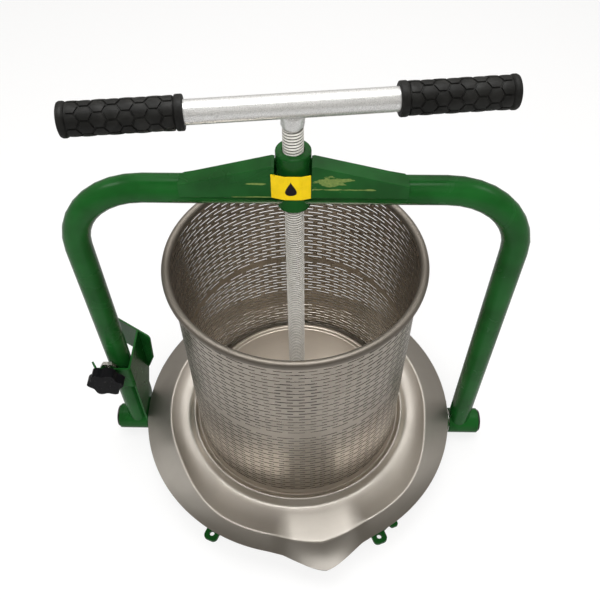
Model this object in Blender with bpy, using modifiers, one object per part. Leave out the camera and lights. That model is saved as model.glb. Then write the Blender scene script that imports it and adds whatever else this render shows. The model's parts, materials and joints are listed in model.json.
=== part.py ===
"""Fruit press: a basket in a pouring tray, under a tilting frame that carries a screw with a T-handle.

Units are metres and +Z is up. The screw turns on the Z axis, the frame tilts about a line along X, and the
feet stand on z = 0. The front, where the spout and the label are, faces -Y.
"""

import math

import bmesh
import bpy
from mathutils import Matrix, Vector

# Clearances and sheet sizes
GAP = 0.0003
THREAD_PLAY = 0.0004
OVERSHOOT = 0.004
MERGE_DISTANCE = 0.00001
SORT_DIGITS = 5

# Frame tube: two legs, two bends and the crossbar
LEG_RADIUS = 0.0146
LEG_WALL = 0.002
LEG_X = 0.2312
BEND_RADIUS = 0.083
CROSSBAR_Z = 0.4626
LEG_FOOT_RISE = 0.005
CROSSBAR_END_X = 0.006
TUBE_SIDES = 24
BEND_STEPS = 9

# Pivots of the frame
PIVOT_Z = 0.024
SLEEVE_RADIUS = 0.0175
SLEEVE_INWARD = 0.0137
SLEEVE_OUTWARD = 0.0276
SLEEVE_INNER_X = LEG_X - SLEEVE_INWARD
SLEEVE_OUTER_X = LEG_X + SLEEVE_OUTWARD
AXLE_RADIUS = 0.012
AXLE_FLANGE_RADIUS = 0.016
AXLE_FLANGE_THICKNESS = 0.0045
AXLE_CHAMFER = 0.001
CAP_RADIUS = 0.0155
CAP_EDGE = 0.0018
CAP_THICKNESS = 0.0042
WASHER_RADIUS = 0.0165
PIVOT_SIDES = 32

# Boss that the screw runs in
BOSS_RADIUS = 0.017
BOSS_DROP = 0.0176
BOSS_RISE = 0.0481
BOSS_BOTTOM_Z = CROSSBAR_Z - BOSS_DROP
BOSS_TOP_Z = CROSSBAR_Z + BOSS_RISE
BOSS_CHAMFER = 0.0012

# Cover sheets over the crossbar, with their heights over its middle line
COVER_SHEET = 0.002
COVER_END_X = 0.109
COVER_BULGE_HALF = 0.008
COVER_SHOULDER_X = 0.02
COVER_BULGE = 0.0036
FRONT_BOTTOM_RISE = 0.0034
FRONT_CENTRE_RISE = 0.0406
FRONT_END_RISE = 0.0177
COVER_FRONT_BOTTOM_Z = CROSSBAR_Z + FRONT_BOTTOM_RISE
COVER_FRONT_CENTRE_Z = CROSSBAR_Z + FRONT_CENTRE_RISE
COVER_FRONT_END_Z = CROSSBAR_Z + FRONT_END_RISE
COVER_FOLD_BACK = 0.018
REAR_BOTTOM_DROP = 0.0066
REAR_CENTRE_RISE = 0.0244
REAR_END_RISE = 0.0064
COVER_REAR_BOTTOM_Z = CROSSBAR_Z - REAR_BOTTOM_DROP
COVER_REAR_CENTRE_Z = CROSSBAR_Z + REAR_CENTRE_RISE
COVER_REAR_END_Z = CROSSBAR_Z + REAR_END_RISE

# Label plate
LABEL_X = -0.0021
LABEL_HALF_WIDTH = 0.0188
COVER_NOTCH_INSET = 0.002
LABEL_MARGIN = 0.0012
LABEL_HEIGHT = 0.028
LABEL_BOTTOM_Z = COVER_FRONT_BOTTOM_Z + LABEL_MARGIN
LABEL_TOP_Z = LABEL_BOTTOM_Z + LABEL_HEIGHT
LABEL_THICKNESS = 0.0008

# Screw, hub and press plate
SPINDLE_RADIUS = 0.01
SPINDLE_FOOT_RADIUS = 0.014
SPINDLE_FOOT_THICKNESS = 0.007
SPINDLE_SIDES = 32
PLATE_RADIUS = 0.13
PLATE_BOTTOM_Z = 0.074
PLATE_THICKNESS = 0.003
PLATE_RIM_WIDTH = 0.004
PLATE_RIM_RISE = 0.003
PLATE_SIDES = 64
HUB_RADIUS = 0.02
HUB_FLANGE_RADIUS = 0.034
HUB_FLANGE_THICKNESS = 0.004
HUB_FLOOR = 0.003
HUB_CAP_THICKNESS = 0.006
HUB_CAP_RADIUS = 0.0225
HUB_CHAMFER = 0.001

# Handle across the top of the screw
BAR_RADIUS = 0.011
BAR_WALL = 0.002
BAR_RISE = 0.0463
BAR_Z = BOSS_TOP_Z + BAR_RISE
BAR_HALF_LENGTH = 0.1945
BAR_TURN = math.radians(6.6)
BAR_SIDES = 24
WELD_RADIUS = 0.0116
WELD_FLARE_RADIUS = 0.0145
WELD_FLARE_HEIGHT = 0.007
WELD_HEIGHT = 0.0125
WELD_NECK = 0.003
GRIP_OVERHANG = 0.0048
GRIP_LENGTH = 0.1063
GRIP_OUTER_END = BAR_HALF_LENGTH + GRIP_OVERHANG
GRIP_INNER_END = GRIP_OUTER_END - GRIP_LENGTH
GRIP_RADIUS = 0.0148
GRIP_LIP_RADIUS = 0.0158
GRIP_COLLAR_LENGTH = 0.008
GRIP_LIP_LENGTH = 0.006
GRIP_EDGE = 0.0015
GRIP_SIDES = 32

# Basket
BASKET_FOOT_Z = 0.067
BASKET_INNER_RADIUS = 0.1348
BASKET_SHEET = 0.0012
BASKET_FOOT_STEP = 0.002
BASKET_FOOT_HEIGHT = 0.006
BASKET_FOOT_SLOPE = 0.005
BASKET_TOP_Z = 0.369
RIM_ROLL_RADIUS = 0.0046
RIM_ROLL_DEGREES = 270
RIM_ROLL_STEPS = 7
BASKET_SIDES = 64

# Slots in the basket wall, in two fields with a plain band between. The real slots are finer.
SLOT_HEIGHT = 0.0075
SLOT_ROWS = 6
SLOT_COLUMNS = 4
LOWER_FIELD_Z = 0.0805
LOWER_FIELD_TOP_Z = 0.2125
UPPER_FIELD_Z = 0.226
UPPER_FIELD_TOP_Z = 0.3585

# Tray: its top face runs from the middle outwards through these radii and heights
TRAY_SHEET = 0.0015
BASKET_ROOM = 0.0048
BEAD_OFFSET = 0.0046
TRAY_FLOOR_RADIUS = BASKET_INNER_RADIUS + BASKET_ROOM
BEAD_CREST_RADIUS = TRAY_FLOOR_RADIUS + BEAD_OFFSET
BEAD_HALF_WIDTH = 0.0025
BEAD_HEIGHT = 0.0045
BEAD_SLOPE = 0.0093
CHANNEL_WIDTH = 0.0085
CHANNEL_LIFT = 0.001
CHANNEL_INNER_RADIUS = BEAD_CREST_RADIUS + BEAD_SLOPE
CHANNEL_OUTER_RADIUS = CHANNEL_INNER_RADIUS + CHANNEL_WIDTH
CHANNEL_DEPTH = 0.004
RIDGE_OFFSET = 0.015
RIDGE_RADIUS = CHANNEL_OUTER_RADIUS + RIDGE_OFFSET
RIDGE_HALF_WIDTH = 0.0018
RIDGE_HEIGHT = 0.005
FLANGE_WIDTH = 0.034
TRAY_RADIUS = RIDGE_RADIUS + FLANGE_WIDTH
FLANGE_CROWN = 0.0012
TRAY_EDGE_DROP = 0.0066
TRAY_SIDES = 64
SPOUT_TURN = math.radians(-80)
SPOUT_REACH = 0.02
SPOUT_DROP = 0.0095
SPOUT_MOUTH_ANGLE = math.radians(20)
SPOUT_TIP_ANGLE = math.radians(14)
RIDGE_CORNER_REACH = 0.0055
RIDGE_CORNER_ANGLE = math.radians(12)
RIDGE_WIDENING = 0.0155
WIDE_ANGLE = math.radians(33)
NARROW_ANGLE = math.radians(75)

# Base under the tray
BEAM_SETBACK = 0.0192
BEAM_HALF_LENGTH = LEG_X - BEAM_SETBACK
BEAM_WIDTH = 0.04
BEAM_HEIGHT = 0.045
BEAM_WALL = 0.003
END_PLATE = 0.0024
FOOT_END = (0.1145, 0.174)
FOOT_TURN = math.radians(22)
FOOT_WIDTH = 0.019
FOOT_THICKNESS = 0.005
FOOT_CORNER = 0.006
FOOT_CORNER_STEPS = 4
FOOT_HOLE_RADIUS = 0.0033
FOOT_HOLE_INSET = 0.009
FOOT_HOLE_SIDES = 16
EAR_REACH = 0.031
EAR_LENGTH = 0.011
EAR_SETBACK = 0.014
EAR_WEB = 0.0045
EAR_ROOT = 0.04
EAR_CORNER = 0.003
ARM_WIDTH = 0.03
ARM_REACH = 0.127
RING_OUTER_RADIUS = 0.125
RING_WIDTH = 0.02
RING_INNER_RADIUS = RING_OUTER_RADIUS - RING_WIDTH
RING_SIDES = 48

# Lock bracket round the left leg, as outlines in the YZ plane and lengths of its folded flanges
BRACKET_SHEET = 0.0024
BRACKET_TOP_Z = 0.179
BRACKET_FRONT_Y = -0.0232
BRACKET_WAIST_FRONT_Y = -0.0212
BRACKET_FOLD_RADIUS = 0.004
BRACKET_FOLD_STEPS = 4
BRACKET_REAR_Y = 0.0405
BRACKET_WAIST_REAR_Y = 0.024
BRACKET_WAIST_Z = 0.08
BRACKET_NECK_Z = 0.062
BRACKET_FOOT_RISE = 0.003
FRONT_FLANGE_BOTTOM_Z = 0.139
FRONT_FLANGE_OUTWARD = 0.0248
FRONT_FLANGE_END_X = -(LEG_X + FRONT_FLANGE_OUTWARD)
LIP_LENGTH = 0.013
LIP_TURN = math.radians(55)
REAR_PLATE_TURN = math.radians(32)
REAR_PLATE_OVERHANG = 0.0215
REAR_PLATE_REACH = 0.038
REAR_PLATE_BOTTOM_Z = 0.126
REAR_PLATE_SIDE_Z = 0.128
REAR_PLATE_TAPER_Z = 0.096
REAR_PLATE_CORNER = 0.005

# Lock screw through the front flange of the bracket
LOCK_OUTWARD = 0.0093
LOCK_X = -(LEG_X + LOCK_OUTWARD)
LOCK_Z = 0.1745
STUD_RADIUS = 0.005
STUD_TIP_Y = -0.0147
NUT_ACROSS_FLATS = 0.021
NUT_THICKNESS = 0.005
KNOB_RADIUS = 0.0232
KNOB_LOBE_DEPTH_SHARE = 0.12
KNOB_LOBES = 6
KNOB_POINTS_PER_LOBE = 8
KNOB_THICKNESS = 0.013
KNOB_NECK_RADIUS = 0.0105
KNOB_NECK_LENGTH = 0.0075
KNOB_BACK_Y = -0.0318
STUD_GRIP_DEPTH = 0.009
STUD_SIDES = 20

# Colours, as linear red, green and blue
GREEN = (0.012, 0.103, 0.019)
STEEL = (0.55, 0.53, 0.5)
SCREW_STEEL = (0.42, 0.41, 0.4)
SILVER_PAINT = (0.5, 0.5, 0.5)
ZINC = (0.62, 0.61, 0.57)
BLACK_RUBBER = (0.012, 0.012, 0.012)
BLACK_PLASTIC = (0.015, 0.015, 0.017)
DARK_STEEL = (0.16, 0.16, 0.16)
YELLOW = (0.85, 0.6, 0.01)

SMOOTH_ANGLE = math.radians(35)
QUARTER = math.pi / 2
SIDES = {"left": -1, "right": 1}


def clear_scene():
    """Removes the startup objects."""
    for obj in list(bpy.data.objects):
        bpy.data.objects.remove(obj)


def new_collection(name):
    collection = bpy.data.collections.new(name)
    bpy.context.scene.collection.children.link(collection)
    return collection


clear_scene()
PRESS = new_collection("fruit_press")
CUTTERS = new_collection("cutters")


def add_part(name, data, colour, roughness, metallic):
    """A visible sub-part with its own material."""
    material = bpy.data.materials.new(name)
    material.use_nodes = True
    shader = material.node_tree.nodes["Principled BSDF"]
    shader.inputs["Base Color"].default_value = (*colour, 1)
    shader.inputs["Roughness"].default_value = roughness
    shader.inputs["Metallic"].default_value = metallic
    data.materials.append(material)
    obj = bpy.data.objects.new(name, data)
    PRESS.objects.link(obj)
    return obj


def add_cutter(name, mesh, location=(0, 0, 0), rotation=(0, 0, 0)):
    """A hidden shape that only serves to cut others."""
    obj = bpy.data.objects.new(name, mesh)
    obj.location = location
    obj.rotation_euler = rotation
    obj.hide_render = True
    obj.display_type = "WIRE"
    CUTTERS.objects.link(obj)
    return obj


def cut(obj, cutter):
    modifier = obj.modifiers.new("cut_" + cutter.name, "BOOLEAN")
    modifier.operation = "DIFFERENCE"
    modifier.solver = "EXACT"
    modifier.object = cutter


def join(obj, helper):
    modifier = obj.modifiers.new("join_" + helper.name, "BOOLEAN")
    modifier.operation = "UNION"
    modifier.solver = "EXACT"
    modifier.object = helper


def mesh_from(name, build):
    """A mesh that the given function makes with bmesh operators."""
    edit = bmesh.new()
    build(edit)
    mesh = bpy.data.meshes.new(name)
    edit.to_mesh(mesh)
    edit.free()
    return mesh


def box_mesh(name, low, high):
    """A box between two corners."""
    low = Vector(low)
    high = Vector(high)

    def build(edit):
        size = Matrix.Diagonal((*(high - low), 1))
        centre = Matrix.Translation((low + high) / 2)
        bmesh.ops.create_cube(edit, size=1, matrix=centre @ size)

    return mesh_from(name, build)


def cylinder_mesh(name, radius, length, sides):
    """A closed cylinder along Z, centred on the origin."""

    def build(edit):
        bmesh.ops.create_cone(
            edit, cap_ends=True, segments=sides, radius1=radius, radius2=radius, depth=length
        )

    return mesh_from(name, build)


def profile_mesh(name, points, closed):
    """The edges of a profile at +X, ready to be turned about Z."""

    def build(edit):
        verts = [edit.verts.new((radius, 0, height)) for radius, height in points]
        for first, second in zip(verts, verts[1:]):
            edit.edges.new((first, second))
        if closed:
            edit.edges.new((verts[-1], verts[0]))

    return mesh_from(name, build)


def turn(obj, sides):
    """Turns the object's profile about its own Z axis."""
    modifier = obj.modifiers.new("turned", "SCREW")
    modifier.steps = sides
    modifier.render_steps = sides
    modifier.use_merge_vertices = True
    modifier.merge_threshold = MERGE_DISTANCE
    modifier.use_smooth_shade = True
    modifier.use_normal_calculate = False


def turned_part(name, points, sides, look, closed=False):
    """A turned sub-part. The profile runs down its outer side from top to bottom."""
    obj = add_part(name, profile_mesh(name, points, closed), *look)
    turn(obj, sides)
    return obj


def thicken(obj, thickness):
    """Gives an open surface its wall, on the side away from its normals."""
    modifier = obj.modifiers.new("sheet", "SOLIDIFY")
    modifier.thickness = thickness
    modifier.offset = -1
    modifier.use_even_offset = True


def smooth(mesh):
    mesh.shade_smooth()
    mesh.set_sharp_from_angle(angle=SMOOTH_ANGLE)


def arc_points(centre, radius, start, end, steps):
    """Points on an arc in a plane, from one angle to another, both ends included."""
    angles = [start + (end - start) * step / steps for step in range(steps + 1)]
    return [
        (centre[0] + radius * math.cos(angle), centre[1] + radius * math.sin(angle))
        for angle in angles
    ]


def flat_mesh(name, outlines, thickness):
    """A flat outline with its holes, thickened about the XY plane, as a closed mesh."""
    curve = bpy.data.curves.new(name, "CURVE")
    curve.dimensions = "2D"
    curve.fill_mode = "BOTH"
    curve.extrude = thickness / 2
    for outline in outlines:
        spline = curve.splines.new("POLY")
        spline.points.add(len(outline) - 1)
        for point, (x, y) in zip(spline.points, outline):
            point.co = (x, y, 0, 1)
        spline.use_cyclic_u = True
    return curve_mesh(name, curve)


def curve_mesh(name, curve):
    """The mesh that a curve makes, with its doubled points merged and the curve removed."""
    holder = bpy.data.objects.new(name + "_curve", curve)
    CUTTERS.objects.link(holder)
    bpy.context.view_layer.update()
    graph = bpy.context.evaluated_depsgraph_get()
    mesh = bpy.data.meshes.new_from_object(holder.evaluated_get(graph))
    bpy.data.objects.remove(holder)
    edit = bmesh.new()
    edit.from_mesh(mesh)
    bmesh.ops.remove_doubles(edit, verts=edit.verts, dist=MERGE_DISTANCE)
    bmesh.ops.recalc_face_normals(edit, faces=edit.faces)
    edit.to_mesh(mesh)
    edit.free()
    mesh.materials.clear()
    return mesh


def tube_mesh(name, points, radius, sides):
    """The open skin of a tube along a path in the XZ plane."""
    edit = bmesh.new()
    rings = []
    for index, (x, z) in enumerate(points):
        before = Vector(points[max(index - 1, 0)])
        after = Vector(points[min(index + 1, len(points) - 1)])
        along = (after - before).normalized()
        across = Vector((along.y, 0, -along.x))
        ring = bmesh.ops.create_circle(edit, cap_ends=False, segments=sides, radius=radius)["verts"]
        frame = Matrix((across, (0, 1, 0), (along.x, 0, along.y))).transposed().to_4x4()
        bmesh.ops.transform(edit, verts=ring, matrix=Matrix.Translation((x, 0, z)) @ frame)
        rings.append({edge for vert in ring for edge in vert.link_edges})
    for first, second in zip(rings, rings[1:]):
        bmesh.ops.bridge_loops(edit, edges=list(first | second))
    mesh = bpy.data.meshes.new(name)
    edit.to_mesh(mesh)
    edit.free()
    return mesh


def face_outwards(mesh, centre_of):
    """Turns the faces of an open tube so that they look away from its middle line."""
    edit = bmesh.new()
    edit.from_mesh(mesh)
    bmesh.ops.recalc_face_normals(edit, faces=edit.faces)
    edit.faces.ensure_lookup_table()
    face = edit.faces[0]
    middle = face.calc_center_median()
    if face.normal.dot(middle - Vector(centre_of)) < 0:
        bmesh.ops.reverse_faces(edit, faces=edit.faces)
    edit.to_mesh(mesh)
    edit.free()


PAINT_LOOK = (GREEN, 0.3, 0.0)
STAINLESS_LOOK = (STEEL, 0.32, 1.0)


def make_leg(name, side, boss_cutter):
    """One half of the frame tube: leg, bend and half of the crossbar."""
    bend_centre = (LEG_X - BEND_RADIUS, CROSSBAR_Z - BEND_RADIUS)
    path = [(LEG_X, PIVOT_Z + LEG_FOOT_RISE)]
    path += arc_points(bend_centre, BEND_RADIUS, 0, QUARTER, BEND_STEPS)
    path += [(CROSSBAR_END_X, CROSSBAR_Z)]
    path = [(side * x, z) for x, z in path]
    mesh = tube_mesh(name, path, LEG_RADIUS, TUBE_SIDES)
    face_outwards(mesh, (path[0][0], 0, path[0][1]))
    smooth(mesh)
    leg = add_part(name, mesh, *PAINT_LOOK)
    thicken(leg, LEG_WALL)
    sleeve = add_cutter(
        name + "_saddle",
        cylinder_mesh(
            name + "_saddle",
            SLEEVE_RADIUS + GAP,
            SLEEVE_OUTER_X - SLEEVE_INNER_X + OVERSHOOT,
            PIVOT_SIDES,
        ),
        (side * (SLEEVE_INNER_X + SLEEVE_OUTER_X) / 2, 0, PIVOT_Z),
        (0, QUARTER, 0),
    )
    cut(leg, sleeve)
    cut(leg, boss_cutter)
    return leg


def lay_along_x(obj, side):
    """Puts a turned piece of the pivot on the tilt axis, with its own +Z pointing outwards."""
    obj.location = (0, 0, PIVOT_Z)
    obj.rotation_euler = (0, side * QUARTER, 0)


def make_sleeve(name, side):
    bore = AXLE_RADIUS + GAP
    outline = [
        (bore, SLEEVE_OUTER_X),
        (SLEEVE_RADIUS - AXLE_CHAMFER, SLEEVE_OUTER_X),
        (SLEEVE_RADIUS, SLEEVE_OUTER_X - AXLE_CHAMFER),
        (SLEEVE_RADIUS, SLEEVE_INNER_X),
        (bore, SLEEVE_INNER_X),
    ]
    lay_along_x(turned_part(name, outline, PIVOT_SIDES, PAINT_LOOK, closed=True), side)


def make_axle(name, side):
    """A pin with a flange inside the end of the base beam."""
    flange_inner = BEAM_HALF_LENGTH - AXLE_FLANGE_THICKNESS
    outline = [
        (0, SLEEVE_OUTER_X),
        (AXLE_RADIUS - AXLE_CHAMFER, SLEEVE_OUTER_X),
        (AXLE_RADIUS, SLEEVE_OUTER_X - AXLE_CHAMFER),
        (AXLE_RADIUS, BEAM_HALF_LENGTH),
        (AXLE_FLANGE_RADIUS, BEAM_HALF_LENGTH),
        (AXLE_FLANGE_RADIUS, flange_inner),
        (0, flange_inner),
    ]
    lay_along_x(turned_part(name, outline, PIVOT_SIDES, (DARK_STEEL, 0.4, 1.0)), side)


def make_axle_cap(name, side):
    """A domed disc on the outer end of the axle."""
    inner = SLEEVE_OUTER_X + GAP
    outline = [
        (0, inner + CAP_THICKNESS),
        (CAP_RADIUS / 2, inner + CAP_THICKNESS - CAP_EDGE / 4),
        (CAP_RADIUS - CAP_EDGE / 2, inner + CAP_EDGE + CAP_EDGE / 4),
        (CAP_RADIUS, inner + CAP_EDGE / 2),
        (CAP_RADIUS, inner),
        (0, inner),
    ]
    lay_along_x(turned_part(name, outline, PIVOT_SIDES, (DARK_STEEL, 0.3, 1.0)), side)


def make_pivot_washer(name, side):
    inner = BEAM_HALF_LENGTH + GAP + END_PLATE + GAP
    outer = SLEEVE_INNER_X - GAP
    bore = AXLE_RADIUS + GAP
    outline = [(bore, outer), (WASHER_RADIUS, outer), (WASHER_RADIUS, inner), (bore, inner)]
    lay_along_x(turned_part(name, outline, PIVOT_SIDES, (ZINC, 0.35, 1.0), closed=True), side)


def make_boss():
    bore = SPINDLE_RADIUS + THREAD_PLAY
    outline = [
        (bore, BOSS_TOP_Z),
        (BOSS_RADIUS - BOSS_CHAMFER, BOSS_TOP_Z),
        (BOSS_RADIUS, BOSS_TOP_Z - BOSS_CHAMFER),
        (BOSS_RADIUS, BOSS_BOTTOM_Z + BOSS_CHAMFER),
        (BOSS_RADIUS - BOSS_CHAMFER, BOSS_BOTTOM_Z),
        (bore, BOSS_BOTTOM_Z),
    ]
    turned_part("screw_boss", outline, PIVOT_SIDES, PAINT_LOOK, closed=True)


def cover_depth(x):
    """How far the inner face of a cover stands from the crossbar's middle plane."""
    flat = LEG_RADIUS + GAP
    share = (COVER_SHOULDER_X - abs(x)) / (COVER_SHOULDER_X - COVER_BULGE_HALF)
    return flat + COVER_BULGE * min(max(share, 0), 1)


def cover_height(x, centre_z, end_z):
    """The height of a cover's gable-shaped upper edge."""
    share = (abs(x) - COVER_SHOULDER_X) / (COVER_END_X - COVER_SHOULDER_X)
    return centre_z + (end_z - centre_z) * max(share, 0)


def sheet_from_rows(name, rows):
    """An open sheet through rows of points, made from a grid whose points are moved into place."""

    def build(edit):
        across = len(rows[0])
        made = bmesh.ops.create_grid(edit, x_segments=len(rows) - 1, y_segments=across - 1, size=1)
        verts = sorted(made["verts"], key=lambda vert: (round(vert.co.y, SORT_DIGITS), round(vert.co.x, SORT_DIGITS)))
        for index, vert in enumerate(verts):
            column, row = divmod(index, len(rows))
            vert.co = rows[row][column]

    return mesh_from(name, build)


def cover_stations():
    half = [COVER_BULGE_HALF, COVER_SHOULDER_X, COVER_END_X]
    return [-x for x in reversed(half)] + half


def make_front_cover(boss_cutter):
    """The front sheet: an upright face with its top folded back over the crossbar and open at the boss."""
    rows = []
    for x in cover_stations():
        top = cover_height(x, COVER_FRONT_CENTRE_Z, COVER_FRONT_END_Z)
        outer = -cover_depth(x) - COVER_SHEET
        rows.append(
            [
                Vector((x, outer, COVER_FRONT_BOTTOM_Z)),
                Vector((x, outer, top)),
                Vector((x, outer + COVER_FOLD_BACK, top)),
            ]
        )
    mesh = sheet_from_rows("cover_front", rows)
    orient(mesh, Vector((0, -1, 0)))
    cover = add_part("cover_front", mesh, *PAINT_LOOK)
    thicken(cover, COVER_SHEET)
    cut(cover, boss_cutter)
    half = BOSS_RADIUS + GAP
    low = (-half, -half - LEG_RADIUS, LABEL_TOP_Z - COVER_NOTCH_INSET)
    high = (half, half, COVER_FRONT_CENTRE_Z + OVERSHOOT)
    cut(cover, add_cutter("boss_notch", box_mesh("boss_notch", low, high)))


def make_rear_cover():
    """The lower sheet behind the crossbar."""
    rows = []
    for x in cover_stations():
        top = cover_height(x, COVER_REAR_CENTRE_Z, COVER_REAR_END_Z)
        outer = cover_depth(x) + COVER_SHEET
        rows.append([Vector((x, outer, COVER_REAR_BOTTOM_Z)), Vector((x, outer, top))])
    mesh = sheet_from_rows("cover_rear", rows)
    orient(mesh, Vector((0, 1, 0)))
    thicken(add_part("cover_rear", mesh, *PAINT_LOOK), COVER_SHEET)


def make_label():
    """A thin plate that follows the bulge of the front cover."""
    low, high = LABEL_X - LABEL_HALF_WIDTH, LABEL_X + LABEL_HALF_WIDTH
    rows = []
    for x in (low, -COVER_BULGE_HALF, COVER_BULGE_HALF, high):
        outer = -cover_depth(x) - COVER_SHEET - GAP - LABEL_THICKNESS
        rows.append([Vector((x, outer, LABEL_BOTTOM_Z)), Vector((x, outer, LABEL_TOP_Z))])
    mesh = sheet_from_rows("label_plate", rows)
    orient(mesh, Vector((0, -1, 0)))
    thicken(add_part("label_plate", mesh, YELLOW, 0.35, 0.0), LABEL_THICKNESS)


def orient(mesh, direction):
    """Turns the faces of an open sheet to one side, judged by its first face."""
    edit = bmesh.new()
    edit.from_mesh(mesh)
    bmesh.ops.recalc_face_normals(edit, faces=edit.faces)
    upright = max(edit.faces, key=lambda face: abs(face.normal.dot(direction)))
    if upright.normal.dot(direction) < 0:
        bmesh.ops.reverse_faces(edit, faces=edit.faces)
    edit.to_mesh(mesh)
    edit.free()


def hub_heights():
    """The heights of the hub's steps, from the plate upwards."""
    base = PLATE_BOTTOM_Z + PLATE_THICKNESS + GAP
    floor = base + HUB_FLOOR
    cup_top = floor + GAP + SPINDLE_FOOT_THICKNESS + GAP
    return base, floor, cup_top


def make_press_plate():
    top = PLATE_BOTTOM_Z + PLATE_THICKNESS
    rim_inner = PLATE_RADIUS - PLATE_RIM_WIDTH
    outline = [
        (0, top),
        (rim_inner - PLATE_RIM_RISE, top),
        (rim_inner, top + PLATE_RIM_RISE),
        (PLATE_RADIUS, top + PLATE_RIM_RISE),
        (PLATE_RADIUS, PLATE_BOTTOM_Z),
        (0, PLATE_BOTTOM_Z),
    ]
    turned_part("press_plate", outline, PLATE_SIDES, STAINLESS_LOOK)


def make_hub_cup():
    base, floor, cup_top = hub_heights()
    inner = SPINDLE_FOOT_RADIUS + GAP
    outline = [
        (0, floor),
        (inner, floor),
        (inner, cup_top),
        (HUB_RADIUS, cup_top),
        (HUB_RADIUS, base + HUB_FLANGE_THICKNESS),
        (HUB_FLANGE_RADIUS - HUB_CHAMFER, base + HUB_FLANGE_THICKNESS),
        (HUB_FLANGE_RADIUS, base + HUB_FLANGE_THICKNESS - HUB_CHAMFER),
        (HUB_FLANGE_RADIUS, base),
        (0, base),
    ]
    turned_part("hub_cup", outline, PIVOT_SIDES, (DARK_STEEL, 0.4, 1.0))


def make_hub_cap():
    cup_top = hub_heights()[2]
    low = cup_top + GAP
    high = low + HUB_CAP_THICKNESS
    bore = SPINDLE_RADIUS + THREAD_PLAY
    outline = [
        (bore, high),
        (HUB_CAP_RADIUS - HUB_CHAMFER, high),
        (HUB_CAP_RADIUS, high - HUB_CHAMFER),
        (HUB_CAP_RADIUS, low),
        (bore, low),
    ]
    turned_part("hub_cap", outline, PIVOT_SIDES, (DARK_STEEL, 0.4, 1.0), closed=True)


def make_spindle():
    """The screw, at its core size, with the disc at its foot that turns in the hub."""
    foot_bottom = hub_heights()[1] + GAP
    foot_top = foot_bottom + SPINDLE_FOOT_THICKNESS
    top = BAR_Z - BAR_RADIUS - GAP
    outline = [
        (0, top),
        (SPINDLE_RADIUS, top),
        (SPINDLE_RADIUS, foot_top),
        (SPINDLE_FOOT_RADIUS, foot_top),
        (SPINDLE_FOOT_RADIUS, foot_bottom),
        (0, foot_bottom),
    ]
    turned_part("spindle", outline, SPINDLE_SIDES, (SCREW_STEEL, 0.35, 1.0))


def along_bar(obj, end):
    """Lays a turned piece along the handle bar, with its own +Z towards the right (1) or left (-1) end."""
    obj.location = (0, 0, BAR_Z)
    obj.rotation_euler = (0, end * QUARTER, BAR_TURN)


def make_handle_bar():
    inner = BAR_RADIUS - BAR_WALL
    outline = [
        (inner, BAR_HALF_LENGTH),
        (BAR_RADIUS, BAR_HALF_LENGTH),
        (BAR_RADIUS, -BAR_HALF_LENGTH),
        (inner, -BAR_HALF_LENGTH),
    ]
    look = (SILVER_PAINT, 0.35, 0.8)
    along_bar(turned_part("handle_bar", outline, BAR_SIDES, look, closed=True), SIDES["right"])


def make_handle_weld():
    """The weld ring between the top of the screw and the underside of the bar."""
    high = BAR_Z - BAR_RADIUS + WELD_NECK
    low = high - WELD_HEIGHT
    bore = SPINDLE_RADIUS + GAP
    outline = [
        (bore, high),
        (WELD_FLARE_RADIUS, high),
        ((WELD_FLARE_RADIUS + WELD_RADIUS) / 2 - GAP, high - WELD_FLARE_HEIGHT / 2),
        (WELD_RADIUS, high - WELD_FLARE_HEIGHT),
        (WELD_RADIUS, low + WELD_NECK),
        (bore + WELD_NECK / 3, low),
        (bore, low),
    ]
    weld = turned_part("handle_weld", outline, SPINDLE_SIDES, (SILVER_PAINT, 0.5, 0.8), closed=True)
    saddle = cylinder_mesh("bar_saddle", BAR_RADIUS + GAP, BAR_HALF_LENGTH, BAR_SIDES)
    cut(weld, add_cutter("bar_saddle", saddle, (0, 0, BAR_Z), (0, QUARTER, BAR_TURN)))


def make_grip(name, end):
    """A rubber sleeve, closed over the end of the bar."""
    bore = BAR_RADIUS + GAP
    blind = BAR_HALF_LENGTH + GAP
    collar_end = GRIP_INNER_END + GRIP_COLLAR_LENGTH
    lip_start = GRIP_OUTER_END - GRIP_LIP_LENGTH
    outline = [
        (0, GRIP_OUTER_END),
        (GRIP_LIP_RADIUS - 2 * GRIP_EDGE, GRIP_OUTER_END),
        (GRIP_LIP_RADIUS - GRIP_EDGE / 2, GRIP_OUTER_END - GRIP_EDGE / 2),
        (GRIP_LIP_RADIUS, GRIP_OUTER_END - 2 * GRIP_EDGE),
        (GRIP_LIP_RADIUS, lip_start + GRIP_EDGE),
        (GRIP_RADIUS, lip_start),
        (GRIP_RADIUS, collar_end),
        (GRIP_LIP_RADIUS, collar_end - GRIP_EDGE),
        (GRIP_LIP_RADIUS, GRIP_INNER_END + GRIP_EDGE),
        (GRIP_LIP_RADIUS - GRIP_EDGE, GRIP_INNER_END),
        (bore, GRIP_INNER_END),
        (bore, blind),
        (0, blind),
    ]
    along_bar(turned_part(name, outline, GRIP_SIDES, (BLACK_RUBBER, 0.6, 0.0)), end)


def slot_bottoms():
    """Heights of the lower edges of all slot rows."""
    fields = ((LOWER_FIELD_Z, LOWER_FIELD_TOP_Z), (UPPER_FIELD_Z, UPPER_FIELD_TOP_Z))
    return [
        low + (high - SLOT_HEIGHT - low) * row / (SLOT_ROWS - 1)
        for low, high in fields
        for row in range(SLOT_ROWS)
    ]


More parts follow.
